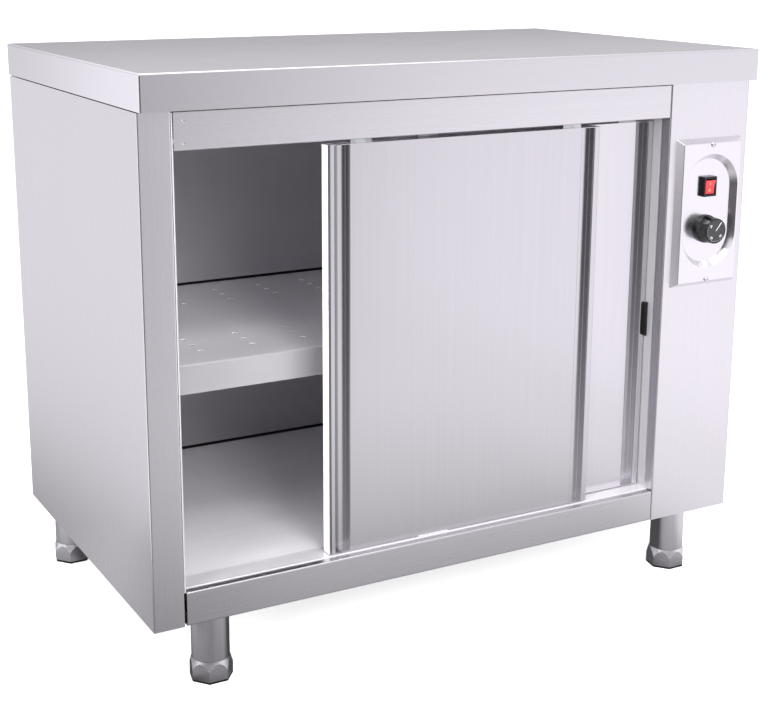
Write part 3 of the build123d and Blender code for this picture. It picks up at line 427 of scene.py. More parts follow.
def brushed_steel(name, grain, tone=1.0, shine=(0.24, 0.34), contrast=0.05, cut=0.6, metallic=1.0):
    """Stainless steel brushed along the x, y or z axis.

    Its colour runs from tone to tone less contrast, by half the hairs, a third the streaks
    and a sixth the clouds. cut is a scratch's depth in fiftieths of a millimetre."""
    made, tree, shader = start_material(name, Metallic=metallic)
    hairs = cloud(tree, hair_stretch[grain], detail=3.0, roughness=0.6)
    streaks = cloud(tree, streak_stretch[grain], detail=2.0)
    clouds = cloud(tree, cloud_stretch, detail=1.0)
    halves, thirds = combine(tree, "MULTIPLY", hairs, 0.5), combine(tree, "MULTIPLY", streaks, 0.33)
    share = combine(tree, "ADD", combine(tree, "ADD", halves, thirds),
                    combine(tree, "MULTIPLY", clouds, 0.17))
    light, dark = tuple(tone * steel_pale), tuple(tone * (1 - contrast) * steel_pale)
    tint_and_gloss(tree, shader, (share, (0.36, 0.64)), (dark, light),
                   (hairs, (0.25, 0.75)), shine, smooth=False)
    raise_relief(tree, shader, hairs, scratch_depth * cut, strength=0.5)
    return made


# %% [markdown]
# No two sheets catch the light alike. One material for all would save work, but each kind of
# sheet gets its own: tone is how light it is, and stands in part for the light and shade that
# sheet gets, so a lower tone is painted shade and a higher one painted light; shine is how
# smooth and how rough it gets, contrast how much the hairs darken it, and cut how deep they go.

# %% A steel for each kind of sheet
front_along = brushed_steel("steel_front_along", "x", contrast=0.02, cut=0.16)
# The rail's lower tone is painted shade.
rail_along = brushed_steel("steel_rail", "x", tone=0.88, contrast=0.03, cut=0.2)
header_steel = brushed_steel("steel_header", "x", tone=0.97, contrast=0.03, cut=0.3)
upright = brushed_steel("steel_upright", "z", contrast=0.018, cut=0.14)
top_along = brushed_steel("steel_worktop", "x", tone=0.9, contrast=0.03, cut=0.3, shine=(0.2, 0.28))
depthwise = brushed_steel("steel_depthwise", "y")

door_shine = {"shine": (0.16, 0.24), "contrast": 0.03, "cut": 0.3}
outer_door_steel = brushed_steel("steel_outer_door", "z", tone=0.84, **door_shine)
rear_door_steel = brushed_steel("steel_rear_door", "z", tone=0.92, **door_shine)
plate_steel = brushed_steel("steel_control_plate", "z", tone=1.06, contrast=0.03, cut=0.3,
                            shine=(0.16, 0.22))

# The sheets inside are duller, and less metallic than steel is, so that lamps light them too.
# The higher tone of the floor, roof and shelf is painted light.
dull_shine = (0.34, 0.44)
inside_upright = brushed_steel("steel_inside_upright", "z", tone=0.95, shine=dull_shine, metallic=0.7)
inside_along = brushed_steel("steel_inside_along", "x", tone=1.15, shine=dull_shine, metallic=0.15)
shelf_steel = brushed_steel("steel_shelf", "x", tone=1.15, shine=dull_shine, metallic=0.15)
back_wall_steel = brushed_steel("steel_inner_back", "z", tone=0.95, contrast=0.03, cut=0.3,
                                shine=dull_shine, metallic=0.7)
print("brushed steels:", len([m for m in bpy.data.materials if m.name.startswith("steel")]))

# %% [markdown]
# ### Painted light and shade, and where a finish changes on its piece
#
# One sheet doesn't look the same all over: its folded edge catches the light, and its far end
# lies in the dark. Here that light and shade is painted into its colour. The faces could be
# split and given materials of their own, but a CAD mesh is left as it is. So a finish is
# blended into another one along an object axis, which keeps each change, painted light and
# shade too, at its own place on the piece from all sides.

# %% Blending along an axis
def change_where(material, socket, axis, reach, new, about=0.0):
    """Blend what feeds a socket into a new colour or number, while an object coordinate runs
    over reach: the edge of painted light or shade, or of a face with another finish. With about,
    it is the distance from there that runs over reach. A number becomes the old one plus share
    times the difference."""
    tree = material.node_tree
    shader = tree.nodes["Principled BSDF"]
    along = separate(tree, place_on_object(tree))["XYZ".index(axis.upper())]
    if about:
        along = combine(tree, "ABSOLUTE", combine(tree, "SUBTRACT", along, about))
    share = remap(tree, along, reach)
    wire = shader.inputs[socket].links
    if isinstance(new, tuple):
        made = blend(tree, share, wire[0].from_socket, new)
    else:
        old = wire[0].from_socket if wire else shader.inputs[socket].default_value
        change = combine(tree, "SUBTRACT", new, old)
        made = combine(tree, "ADD", combine(tree, "MULTIPLY", share, change), old)
    tree.links.new(made, shader.inputs[socket])


# %% [markdown]
# Shelf and floor meet the back wall in a painted shadow line, and the wall shows the same
# painted line at their heights. Painted shade darkens the wall towards the floor, and the
# shelf towards its front and its lip.

# %% Painted shadow lines and painted shade on the fronts inside
shadow_line = (0.02, 0.02, 0.022)
line_by_wall, line_on_wall = (0.2548, 0.2562), (0.0042, 0.0028)
shelf_height, floor_height = 0.4425, 0.1522
shelf_lip = (-0.1965, -0.1975)

for steel in (shelf_steel, inside_along):
    change_where(steel, "Base Color", "y", line_by_wall, shadow_line)
change_where(back_wall_steel, "Base Color", "z", (0.36, 0.2), (0.58, 0.57, 0.592))
for height in (shelf_height, floor_height):
    change_where(back_wall_steel, "Base Color", "z", line_on_wall, shadow_line, about=height)
change_where(shelf_steel, "Base Color", "y", (-0.05, -0.19), (0.67, 0.658, 0.682))
change_where(shelf_steel, "Base Color", "y", shelf_lip, (0.42, 0.412, 0.428))
change_where(shelf_steel, "Metallic", "y", shelf_lip, 0.5)
print("dark lines at heights", shelf_height, "and", floor_height, "m")

# %% [markdown]
# Painted light makes the worktop lighter from back to front, and painted shade makes its
# folded front edge darker again. The floor's front shines more than the rest of it. The outer
# door is folded to the left of its face: a painted shadow line runs beside the fold, a softer
# painted one further in, and the narrow side that faces left is painted nearly white, a
# painted highlight, and is hardly metallic.

# %% Painted light and shade on the worktop and the outer door's edge, and the floor's gloss
floor_front = (-0.225, -0.245)
door_fold, door_shade_stripe = -0.2238, -0.2100
door_side = (-0.2261, -0.2263)

change_where(top_along, "Base Color", "y", (0.32, -0.32), (0.98, 0.96, 1.0))
change_where(top_along, "Base Color", "y", (-0.2975, -0.2995), (0.70, 0.687, 0.713))
change_where(inside_along, "Metallic", "y", floor_front, 0.4)
change_where(inside_along, "Roughness", "y", floor_front, 0.2)
change_where(outer_door_steel, "Base Color", "x", (0.0018, 0.0008), (0.2, 0.195, 0.205), about=door_fold)
change_where(outer_door_steel, "Base Color", "x", (0.0055, 0.002), (0.3, 0.295, 0.31), about=door_shade_stripe)
change_where(outer_door_steel, "Base Color", "x", door_side, (0.95, 0.94, 0.96))
change_where(outer_door_steel, "Metallic", "x", door_side, 0.1)
print("outer door's side begins at x =", door_side[0], "m")

# %% [markdown]
# ### Punched holes in the shelf
#
# Each punched hole shows a bright sliver where its edge catches the light. Here that is a
# painted highlight: a ring of pale colour round each hole. Real edges for all of them would add
# thousands of faces that nobody sees. Folding the place on the shelf back on itself, once a
# column and once a row, puts every hole at one distance, so a single ring in the material
# serves them all.

# %% Painted highlights around the shelf's holes
first_column, column_pitch = -0.363, 0.080
group_middle, group_spread, row_pitch = 0.0310, 0.269, 0.0333
outer_rows_reach = 1.4 * row_pitch
painted_glint_reach = (0.0056, 0.0049)
painted_glint_colour = (0.99, 0.98, 1.0)


def to_nearest(tree, along, pitch):
    """Distance to the nearest whole multiple of the pitch."""
    turns = combine(tree, "DIVIDE", along, pitch)
    return combine(tree, "MULTIPLY", combine(tree, "PINGPONG", turns, 0.5), pitch)


def brighten_holes(material, new):
    """Paint a highlight: blend the colour into a new one within painted_glint_reach of each hole's middle,
    the root of the squares of the distances to the nearest column and the nearest row. A group
    has three rows, so nothing is drawn past outer_rows_reach from its middle row."""
    tree = material.node_tree
    shader = tree.nodes["Principled BSDF"]
    x, y, _ = separate(tree, place_on_object(tree))
    across = to_nearest(tree, combine(tree, "SUBTRACT", x, first_column), column_pitch)
    from_middle = combine(tree, "ABSOLUTE", combine(tree, "SUBTRACT", y, group_middle))
    in_group = combine(tree, "SUBTRACT", from_middle, group_spread / 2)
    along = to_nearest(tree, in_group, row_pitch)
    squares = combine(tree, "ADD", combine(tree, "MULTIPLY", across, across),
                      combine(tree, "MULTIPLY", along, along))
    ring = remap(tree, combine(tree, "SQRT", squares), painted_glint_reach)
    three_rows = combine(tree, "LESS_THAN", combine(tree, "ABSOLUTE", in_group), outer_rows_reach)
    share = combine(tree, "MULTIPLY", ring, three_rows)
    made = blend(tree, share, shader.inputs["Base Color"].links[0].from_socket, new)
    tree.links.new(made, shader.inputs["Base Color"])


brighten_holes(shelf_steel, painted_glint_colour)
# The rings are painted highlights.
print("painted_glints run from", painted_glint_reach[1], "to", painted_glint_reach[0], "m from a hole's middle")

# %% [markdown]
# ### Spot welds
#
# The header is welded to the left panel from behind, and each weld leaves a shallow dimple.
# Cutting real hollows would need a finer mesh than a flat sheet is worth, so a dimple is a
# round dip in the relief: the distance from its middle, measured across the sheet only.

# %% Header with two spot welds
weld_middles = [(-0.4375, 0.788), (-0.4375, 0.759)]
weld_radius, weld_depth = 0.0022, 0.0005


def add_dimples(material, middles, radius, depth):
    """Round dips around middles, each (x, z) in metres, under the material's own relief.

    A dip's depth is full at its middle and runs smoothly to nothing at its radius."""
    tree = material.node_tree
    shader = tree.nodes["Principled BSDF"]
    old_relief = shader.inputs["Normal"].links[0].from_node
    height = None
    for x, z in middles:
        flat = place_on_object(tree, stretch=(1, 0, 1), shift=(-x, 0, -z))
        dip = remap(tree, vector_step(tree, "LENGTH", flat), (0.0, radius))
        height = dip if height is None else combine(tree, "MULTIPLY", height, dip)
    dips = add_node(tree, "ShaderNodeBump", Strength=1.0, Distance=depth)
    tree.links.new(height, dips.inputs["Height"])
    tree.links.new(dips.outputs["Normal"], old_relief.inputs["Normal"])


add_dimples(header_steel, weld_middles, weld_radius, weld_depth)
print("header has", len(weld_middles), "dimples")

# %% [markdown]
# ### Polished tube and turned feet
#
# The legs are drawn tube, polished all round, and shine much more than the sheet does. The
# feet are turned from bar and keep faint cutter marks, and screws and spindle are plated.
# The brushed steel could be reused with less relief, but its pattern is made for flat sheet,
# so these get a plain noise of their own, stretched along the tube or into rings round it.

# %% Tube, feet and plating
def polished_steel(name, tone, shine, grain=(9, 9, 600), contrast=0.08):
    """Turned or drawn steel, a tenth to a third rough: rings round z where grain is fine along
    z, drawing lines where it is fine across."""
    made, tree, shader = start_material(name, Metallic=1.0)
    rings = cloud(tree, grain, detail=2.0)
    light, dark = tuple(tone * steel_pale), tuple(tone * (1 - contrast) * steel_pale)
    tint_and_gloss(tree, shader, (rings, (0.35, 0.65)), (dark, light),
                   (rings, (0.25, 0.75)), shine, smooth=False)
    raise_relief(tree, shader, rings, 0.00001, strength=0.5)
    return made


tube_steel = polished_steel("steel_tube", 0.98, (0.14, 0.2), grain=(420, 420, 4), contrast=0.05)
# The feet's higher tone is painted light.
foot_steel = polished_steel("steel_foot", 1.1, (0.2, 0.3), grain=(60, 60, 500), contrast=0.08)
plated = polished_steel("bright_plating", 1.0, (0.08, 0.16), grain=(9, 9, 1500), contrast=0.05)
nickel = polished_steel("nickel_plating", 0.85, (0.22, 0.32))
print("polished:", tube_steel.name, foot_steel.name, plated.name, nickel.name)

# %% [markdown]
# ### Galvanised sheet, aluminium and hot steel
#
# Molten zinc freezes into flat crystals, each with its own grey. Noise has no such borders,
# but a Voronoi pattern gives one random value to each cell, and that value becomes a tint.
# Mill aluminium shows faint rolling lines. A heating element is stained by its own heat.

# %% Other metals
def galvanised_sheet():
    """Zinc-coated steel with crystals about 12 mm across."""
    made, tree, shader = start_material("galvanised_sheet", Metallic=1.0)
    crystals = add_node(tree, "ShaderNodeTexVoronoi", Scale=1.0)
    tree.links.new(place_on_object(tree, (85, 85, 85)), crystals.inputs["Vector"])
    grey = add_node(tree, "ShaderNodeSeparateColor")
    tree.links.new(crystals.outputs["Color"], grey.inputs[0])
    tint = blend(tree, grey.outputs[0], (0.52, 0.54, 0.57), (0.70, 0.72, 0.74))
    tree.links.new(tint, shader.inputs["Base Color"])
    tree.links.new(remap(tree, grey.outputs[1], (0, 1), (0.34, 0.5)), shader.inputs["Roughness"])
    raise_relief(tree, shader, crystals.outputs["Distance"], 0.00004, strength=0.3)
    return made


def mill_aluminium():
    """Rolled aluminium, whose tint and gloss follow its rolling lines."""
    made, tree, shader = start_material("mill_aluminium", Metallic=1.0)
    lines = cloud(tree, (30, 500, 500), detail=3.0)
    tree.links.new(blend(tree, lines, (0.66, 0.67, 0.69), (0.84, 0.84, 0.85)), shader.inputs["Base Color"])
    tree.links.new(remap(tree, lines, (0.3, 0.7), (0.28, 0.42)), shader.inputs["Roughness"])
    raise_relief(tree, shader, lines, 0.00003, strength=0.5)
    return made


def heat_tinted_steel():
    """Grey, straw and brown patches, in turn, as the stain grows, under a fine scale."""
    made, tree, shader = start_material("heat_tinted_steel", Metallic=1.0)
    stain = cloud(tree, (24, 24, 40), detail=2.0)
    scale = cloud(tree, (900, 900, 900))
    straw = blend(tree, remap(tree, stain, (0.3, 0.5)), (0.23, 0.22, 0.26), (0.36, 0.27, 0.17))
    tint_and_gloss(tree, shader, (stain, (0.5, 0.7)), (straw, (0.16, 0.14, 0.13)),
                   (scale, (0.3, 0.7)), (0.38, 0.55))
    raise_relief(tree, shader, scale, 0.00005, strength=0.4)
    return made


galvanised = galvanised_sheet()
aluminium = mill_aluminium()
hot_steel = heat_tinted_steel()
print("other metals:", galvanised.name, aluminium.name, hot_steel.name)

# %% [markdown]
# ### Plastics, rubber and enamel
#
# Moulded parts differ mainly in gloss and in how fine their skin is. Each could have a tree
# of its own, but one function makes them all: a base colour with a slight mottle, a roughness
# that wanders, and a skin of fine lumps whose size is that of the mould's own grain.

# %% Moulded and coated finishes
def moulded(name, colour, shine, skin=900, depth=0.00002, mottle=0.12, **sockets):
    """A plastic, rubber or paint. skin is lumps per metre and depth their height in metres."""
    made, tree, shader = start_material(name, **sockets)
    lumps = cloud(tree, (skin, skin, skin), detail=2.0)
    patches = cloud(tree, (45, 45, 45), detail=2.0)
    darker = tuple((1 - mottle) * c for c in colour)
    tint_and_gloss(tree, shader, (patches, (0.3, 0.7)), (darker, colour), (patches, (0.3, 0.7)), shine)
    raise_relief(tree, shader, lumps, depth, strength=0.6)
    return made


black_gloss = moulded("black_gloss_plastic", (0.006, 0.006, 0.007), (0.12, 0.2), depth=0.00001)
knob_face_black = moulded("knob_face_charcoal", (0.032, 0.031, 0.035), (0.42, 0.52), skin=2500)
red_gloss = moulded("red_gloss_plastic", (0.52, 0.018, 0.028), (0.1, 0.18), depth=0.00001,
                    Coat_Weight=0.6, Coat_Roughness=0.06)
mark_paint = moulded("mark_paint_white", (0.85, 0.85, 0.84), (0.35, 0.45), skin=3000)
mark_amber = moulded("mark_amber", (0.9, 0.42, 0.1), (0.3, 0.4), skin=3000)
black_matt = moulded("black_matt_plastic", (0.03, 0.03, 0.032), (0.5, 0.62), skin=1400)
white_matt = moulded("white_matt_plastic", (0.8, 0.8, 0.77), (0.45, 0.55), skin=1400)
nylon = moulded("white_nylon", (0.83, 0.83, 0.8), (0.32, 0.42), Subsurface_Weight=0.15)
rubber = moulded("black_rubber", (0.008, 0.008, 0.008), (0.62, 0.78), skin=700, depth=0.00006,
                 mottle=0.3, Specular_IOR_Level=0.25)
enamel = moulded("motor_enamel", (0.09, 0.09, 0.1), (0.28, 0.38), skin=260, depth=0.00004,
                 Coat_Weight=0.3)
print("materials so far:", len(bpy.data.materials))

# %% [markdown]
# ### Board and mineral wool
#
# The stiffening board under the worktop is plain plywood, so its faces show growth lines and
# its edge shows plies. Cloudy noise alone would look like stone: a Wave texture draws lines,
# and bends them by itself. The wool slabs are tangled fibres: noise stretched one way and
# again the other way, the higher of the two on top, with deep relief and some sheen.

# %% Board and wool
def plywood():
    """Rotary-cut veneer: growth lines a few millimetres apart, fainter where a slow noise is low."""
    made, tree, shader = start_material("raw_plywood")
    slow = cloud(tree, (3, 3, 3), detail=1.0)
    lines = add_node(tree, "ShaderNodeTexWave", Scale=1.0, Distortion=6.0, Detail=3.0)
    tree.links.new(place_on_object(tree, (1.5, 34, 320)), lines.inputs["Vector"])
    share = combine(tree, "MULTIPLY", lines.outputs["Fac"], slow)
    tree.links.new(blend(tree, share, (0.66, 0.50, 0.33), (0.42, 0.28, 0.16)), shader.inputs["Base Color"])
    tree.links.new(remap(tree, slow, (0.3, 0.7), (0.62, 0.8)), shader.inputs["Roughness"])
    raise_relief(tree, shader, lines.outputs["Fac"], 0.0001, strength=0.4)
    return made


def wool_slab():
    """Two tangles of fibres that cross, the higher one on top, straw coloured where high."""
    made, tree, shader = start_material("mineral_wool", Sheen_Weight=0.3)
    fibres = cloud(tree, (160, 620, 620), detail=4.0, roughness=0.7)
    crossing = cloud(tree, (620, 160, 300), detail=4.0, roughness=0.7, shift=(3, 1, 2))
    tangle = combine(tree, "MAXIMUM", fibres, crossing)
    tint_and_gloss(tree, shader, (tangle, (0.4, 0.75)), ((0.42, 0.33, 0.16), (0.78, 0.69, 0.45)),
                   (tangle, (0.4, 0.75)), (0.8, 0.95))
    raise_relief(tree, shader, tangle, 0.0006, strength=0.8)
    return made


board = plywood()
wool = wool_slab()
print("board and wool:", board.name, wool.name)

# %% [markdown]
# ## Dressing the CAD nodes
#
# The brushing follows the way each sheet came off the belt before it was folded: lengthwise
# on the worktop, header, rail, shelf and floor, upright on the panels, doors and column.
# Materials could be dragged onto 60 pieces by hand. A table from node to finish does it in
# one go, and a node that is missing from it stops the script.

# %% Sheets and panels
finishes = {
    "worktop": top_along,
    "worktop_board": board,
    "worktop_channels": galvanised,
    "side_panel_left": upright,
    "side_panel_right": upright,
    "back_panel": upright,
    "back_screws": plated,
    "bottom_pan": front_along,
    "header": header_steel,
    "bottom_rail": rail_along,
    "column_front": upright,
    "deck": inside_along,
    "inner_left_wall": inside_upright,
    "inner_back_wall": back_wall_steel,
    "inner_roof": inside_along,
    "column_inner_wall": inside_upright,
    "shelf": shelf_steel,
    "shelf_brackets": depthwise,
    "leg_tubes": tube_steel,
}
print(len(finishes), "sheets and panels")

# %% Controls, heater and small parts
finishes |= {
    "top_track": galvanised,
    "floor_guide": nylon,
    "door_stops": rubber,
    "control_plate": plate_steel,
    "plate_screws": plated,
    "switch_body": black_gloss,
    "switch_rocker": red_gloss,
    "knob": black_gloss,
    "thermostat_spindle": nickel,
    "thermostat": nickel,
    "heater_duct": galvanised,
    "air_grilles": inside_upright,
    "fan_motor": enamel,
    "fan_wheel": aluminium,
    "heating_element": hot_steel,
    "terminal_block": white_matt,
    "cable_gland": black_matt,
}
for place in ("left", "back", "roof", "floor"):
    finishes[f"{place}_insulation"] = wool
for door, face in (("outer", outer_door_steel), ("rear", rear_door_steel)):
    finishes[f"{door}_door_skin"] = face
    finishes[f"{door}_door_back"] = upright
    finishes[f"{door}_door_core"] = wool
    finishes[f"{door}_door_hangers"] = galvanised
    for side in ("left", "right"):
        finishes[f"{door}_wheel_{side}"] = nylon
for corner in ("front_left", "front_right", "rear_left", "rear_right"):
    finishes[f"foot_{corner}"] = foot_steel
    finishes[f"foot_pad_{corner}"] = rubber

for name, node in nodes.items():
    node.data.materials.clear()
    node.data.materials.append(finishes[name])
print(len(nodes), "nodes dressed")

# %% [markdown]
# ## Temperature knob
#
# The knob is a turned shape: a round skirt, a slightly tapered grip and a face that lies a
# little below its rim, which keeps the printing from wearing off. A Screw modifier could turn
# an outline, but here the outline is an array of radii and depths, and one line of numpy
# carries it round the axis. The rounded corners are short runs of an ellipse.

# %% Turning an outline round an axis along y
def close_poles(made):
    """Merge points that fall together, drop what this flattens, and turn all faces outwards."""
    shape = bmesh.new()
    shape.from_mesh(made.data)
    bmesh.ops.remove_doubles(shape, verts=shape.verts, dist=1e-7)
    bmesh.ops.dissolve_degenerate(shape, edges=shape.edges, dist=1e-7)
    bmesh.ops.recalc_face_normals(shape, faces=shape.faces)
    shape.to_mesh(made.data)
    shape.free()


def turned(name, middle, radii, depths, steps=96):
    """A closed solid of revolution. A point at angle a lies at x = middle x + radius times
    sine a, z = middle z + radius times cosine a, y = depth. The outline starts and ends on
    the axis, where all its points fall together and are merged."""
    angle = np.linspace(0, 2 * pi, steps, endpoint=False)[:, None]
    x = middle[0] + np.sin(angle) * radii
    z = middle[1] + np.cos(angle) * radii
    y = np.broadcast_to(depths, x.shape)
    count = len(radii)
    here = np.arange(steps)[:, None] * count
    after = (here + count) % (steps * count)
    along = np.arange(count - 1)[None, :]
    faces = np.stack([here + along, after + along, after + along + 1, here + along + 1], -1)
    made = mesh_object(name, np.stack([x, y, z], -1), faces.reshape(-1, 4))
    close_poles(made)
    return made


def rounded(middle, size, start, end, steps=6):
    """Points of an ellipse from start to end degrees: middle + size times cosine and sine."""
    a = np.radians(np.linspace(start, end, steps))
    return np.stack([middle[0] + size[0] * np.cos(a), middle[1] + size[1] * np.sin(a)], -1)


# %% [markdown]
# The outline is a row of points, each a radius and a depth. It runs from the blind end of the
# spindle's hole out to the back, round the skirt, up the grip and in over the dished face.

# %% Knob
mm = 0.001
low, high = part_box("knob")
knob_middle = ((low.x + high.x) / 2, (low.z + high.z) / 2)
knob_back, knob_front = high.y, low.y
hole_radius, hole_end = 3.05 * mm, knob_back - 14.3 * mm
skirt_edge, skirt_round = 0.4 * mm, 0.6 * mm
grip_round = 1.3 * mm
dish = 0.3 * mm
outline = np.concatenate([
    [(0, hole_end), (hole_radius, hole_end), (hole_radius, knob_back)],
    rounded((21.6 * mm, knob_back - skirt_edge), (skirt_edge, skirt_edge), 90, 0),
    rounded((21.4 * mm, knob_back - 3.6 * mm), (skirt_round, skirt_round), 0, -80),
    [(21.0 * mm, knob_back - 4.5 * mm)],
    rounded((18.5 * mm, knob_front + grip_round), (grip_round, grip_round), 5, -90, 9),
    [(17.9 * mm, knob_front), (17.6 * mm, knob_front + 0.1 * mm),
     (17.4 * mm, knob_front + dish), (0, knob_front + dish)],
])
knob = turned("temperature_knob", knob_middle, outline[:, 0], outline[:, 1])
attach(knob, "thermostat_knob")
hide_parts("knob")
print("knob:", len(knob.data.vertices), "points")

# %% [markdown]
# The dial is charcoal inside a black rim. It could be a separate disc, but then it would need
# a seam: the faces of the same mesh that lie on the dial take a second material instead.

# %% Dial of another black
dial_radius = 17.5 * mm


def read_all(items, field, width):
    """One field of all points or faces of a mesh, as an array with this many numbers each."""
    values = np.empty(len(items) * width)
    items.foreach_get(field, values)
    return values.reshape(-1, width)


knob.data.materials.append(black_gloss)
knob.data.materials.append(knob_face_black)
face_at = read_all(knob.data.polygons, "center", 3)
from_axis = np.hypot(face_at[:, 0] - knob_middle[0], face_at[:, 2] - knob_middle[1])
on_face = (face_at[:, 1] < knob_front + 2 * dish) & (from_axis < dial_radius)
knob.data.polygons.foreach_set("material_index", on_face.astype(np.int32))
print("dial:", int(on_face.sum()), "faces")

# %% [markdown]
# ### Print on the knob
#
# Pad printing lays down a film of paint a few hundredths of a millimetre thick. An image
# would be the quick way, but it blurs close up. Each mark is therefore its own flat outline:
# text turned to mesh for the figures, small discs for the steps between them, and a bar for
# the pointer. All are laid on the dial by turning them clockwise round its middle.

# %% Marks as flat outlines
capital_share = 0.7


def text_outline(words, height):
    """Points (across, up) and faces of a word, its middle on zero. A font's size is its
    capitals' height divided by capital_share."""
    curve = bpy.data.curves.new("figures", "FONT")
    curve.body = words
    curve.size = height / capital_share
    curve.resolution_u = 3
    curve.align_x = "CENTER"
    curve.align_y = "CENTER"
    holder = bpy.data.objects.new("figures", curve)
    mesh = bpy.data.meshes.new_from_object(holder)
    points = read_all(mesh.vertices, "co", 3)[:, :2]
    faces = [list(f.vertices) for f in mesh.polygons]
    bpy.data.objects.remove(holder)
    bpy.data.meshes.remove(mesh)
    return points - (points.min(0) + points.max(0)) / 2, faces


def disc_outline(radius, corners=14):
    """A disc: points at radius times cosine and sine of equal steps of angle."""
    a = np.linspace(0, 2 * pi, corners, endpoint=False)
    return radius * np.stack([np.cos(a), np.sin(a)], -1), [list(range(corners))]


def bar_outline(width, height):
    """An upright bar, its middle on zero."""
    half = np.array([width, height]) / 2
    return np.array([(-1, -1), (1, -1), (1, 1), (-1, 1)]) * half, [[0, 1, 2, 3]]


def round_dial(outline, radius, clockwise):
    """An outline moved out to radius and turned clockwise by degrees: across and up turn
    together, across' = across cosine + up sine, up' = up cosine - across sine."""
    points, faces = outline
    points = points + (0, radius)
    turn = radians(clockwise)
    across = points[:, 0] * cos(turn) + points[:, 1] * sin(turn)
    up = points[:, 1] * cos(turn) - points[:, 0] * sin(turn)
    return np.stack([across, up], -1), faces


def printed(name, outlines, lay, thickness):
    """One piece from many flat outlines. lay puts (across, up) points on the object, and
    Solidify gives the film its thickness."""
    points, faces, start = [], [], 0
    for flat, rings in outlines:
        points.append(lay(flat))
        faces += [(np.array(ring) + start).tolist() for ring in rings]
        start += len(flat)
    mesh = bpy.data.meshes.new(name)
    mesh.from_pydata(np.concatenate(points).tolist(), [], faces)
    mesh.update()
    made = bpy.data.objects.new(name, mesh)
    bpy.context.scene.collection.objects.link(made)
    film = made.modifiers.new("film", "SOLIDIFY")
    film.thickness = thickness
    film.offset = 1.0
    return made


# %% [markdown]
# The pointer stands at 39 degrees, and the dial counts backwards from it: a dot every 15
# degrees, and a figure at three times its own number of degrees.

# %% Figures, steps and pointer
pointer_at, dot_step, degrees_a_figure = 39, 15, 3
pointer_width, pointer_length, pointer_radius = 0.85 * mm, 16.4 * mm, 8.9 * mm
figure_height, figure_radius = 3.3 * mm, 12.6 * mm
dot_size, dot_radius = 0.42 * mm, 16.3 * mm
print_thickness = 0.04 * mm

marks = [round_dial(bar_outline(pointer_width, pointer_length), pointer_radius, pointer_at)]
for figure in (30, 60, 90):
    text = text_outline(str(figure), figure_height)
    marks.append(round_dial(text, figure_radius, pointer_at - degrees_a_figure * figure))
for k in range(6, 19):
    marks.append(round_dial(disc_outline(dot_size), dot_radius, pointer_at - dot_step * k))


def on_dial(flat):
    """Across is x and up is z, on the dial's face."""
    x = knob_middle[0] + flat[:, 0]
    z = knob_middle[1] + flat[:, 1]
    return np.stack([x, np.full(len(flat), knob_front + dish), z], -1)


knob_marks = printed("knob_marks", marks, on_dial, print_thickness)
knob_marks.data.materials.append(mark_paint)
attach(knob_marks, "thermostat_knob")
print("knob print:", len(marks), "marks")

# %% [markdown]
# ## Rocker of the switch
#
# The rocker is a glossy red moulding with a hollow front, so that a finger finds either end.
# A cube with bevelled edges would be flat in front. Here its outline, seen from the side, is
# a shallow bow in front and straight lines behind, and is carried along x. A Bevel modifier
# then takes the sharpness off its corners.

# %% The rocker's outline
rocker_middle = Vector((knob_middle[0], -0.290, 0.641))
rocker_lean = radians(8.0)
half_height, half_back, half_width = 11 * mm, 9 * mm, 9.3 * mm
tip, dip, heel = -5 * mm, 1.2 * mm, 1 * mm


def bow(up):
    """Depth of the rocker's front: deepest in the middle, by a square law of the height."""
    return tip + dip * (1 - (up / half_height) ** 2)


def lean(points):
    """Points (x, y, z) round the rocker's axis, turned by its lean and moved into place."""
    y = points[:, 1] * cos(rocker_lean) - points[:, 2] * sin(rocker_lean)
    z = points[:, 1] * sin(rocker_lean) + points[:, 2] * cos(rocker_lean)
    return np.stack([points[:, 0], y, z], -1) + np.array(rocker_middle)


up = np.linspace(-half_height, half_height, 25)
outline = np.concatenate([np.stack([bow(up), up], -1), [(heel, half_back), (heel, -half_back)]])
print("rocker's outline:", len(outline), "points")

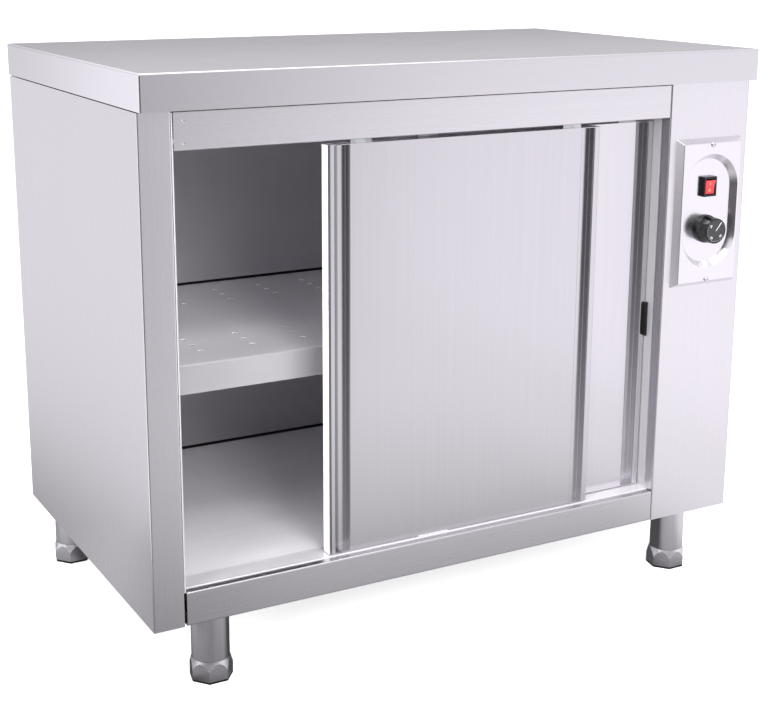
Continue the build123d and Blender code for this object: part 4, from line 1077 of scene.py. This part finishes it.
# %% Rocker
count = len(outline)
ends = [np.column_stack([np.full(count, x), outline]) for x in (-half_width, half_width)]
here = np.arange(count)
after = (here + 1) % count
faces = np.stack([here, after, after + count, here + count], -1).tolist()
faces += [here[::-1].tolist(), (here + count).tolist()]
mesh = bpy.data.meshes.new("switch_rocker_red")
mesh.from_pydata(lean(np.concatenate(ends)).tolist(), [], faces)
mesh.update()
rocker = bpy.data.objects.new("switch_rocker_red", mesh)
bpy.context.scene.collection.objects.link(rocker)
close_poles(rocker)
rocker.data.polygons.foreach_set("use_smooth", np.full(len(rocker.data.polygons), True))

soft_corners = rocker.modifiers.new("soft_corners", "BEVEL")
soft_corners.width = 0.45 * mm
soft_corners.segments = 3
soft_corners.limit_method = "ANGLE"
soft_corners.angle_limit = radians(30)
soft_corners.harden_normals = True
rocker.data.materials.append(red_gloss)
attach(rocker, "rocker")
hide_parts("switch_rocker")
print("rocker:", len(rocker.data.vertices), "points before its corners are rounded")

# %% [markdown]
# ### I and O on the rocker
#
# The two signs are printed on the hollow front. Text would serve, but a bar and a ring are
# plainer shapes, and the printing function lays them along the bow as it laid the figures on
# the dial.

# %% I and O
on_bar = (0.9 * mm, 4.4 * mm)
on_height, off_height = 4.6 * mm, -5.2 * mm
off_radius, off_width = 2.1 * mm, 0.8 * mm
sign_thickness = 0.05 * mm


def ring_outline(radius, width, corners=24):
    """A flat ring: two circles joined by four-sided faces."""
    a = np.linspace(0, 2 * pi, corners, endpoint=False)
    circle = np.stack([np.cos(a), np.sin(a)], -1)
    here = np.arange(corners)
    after = (here + 1) % corners
    faces = np.stack([here, here + corners, after + corners, after], -1)
    return np.concatenate([(radius - width) * circle, radius * circle]), faces.tolist()


def moved(outline, up):
    """An outline moved up."""
    return outline[0] + (0, up), outline[1]


def on_rocker(flat):
    """Across is x, and up follows the bow of the rocker's front."""
    return lean(np.stack([flat[:, 0], bow(flat[:, 1]), flat[:, 1]], -1))


signs = [moved(bar_outline(*on_bar), on_height), moved(ring_outline(off_radius, off_width), off_height)]
rocker_marks = printed("rocker_marks", signs, on_rocker, sign_thickness)
rocker_marks.data.materials.append(mark_amber)
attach(rocker_marks, "rocker")
print("rocker marks:", len(signs))
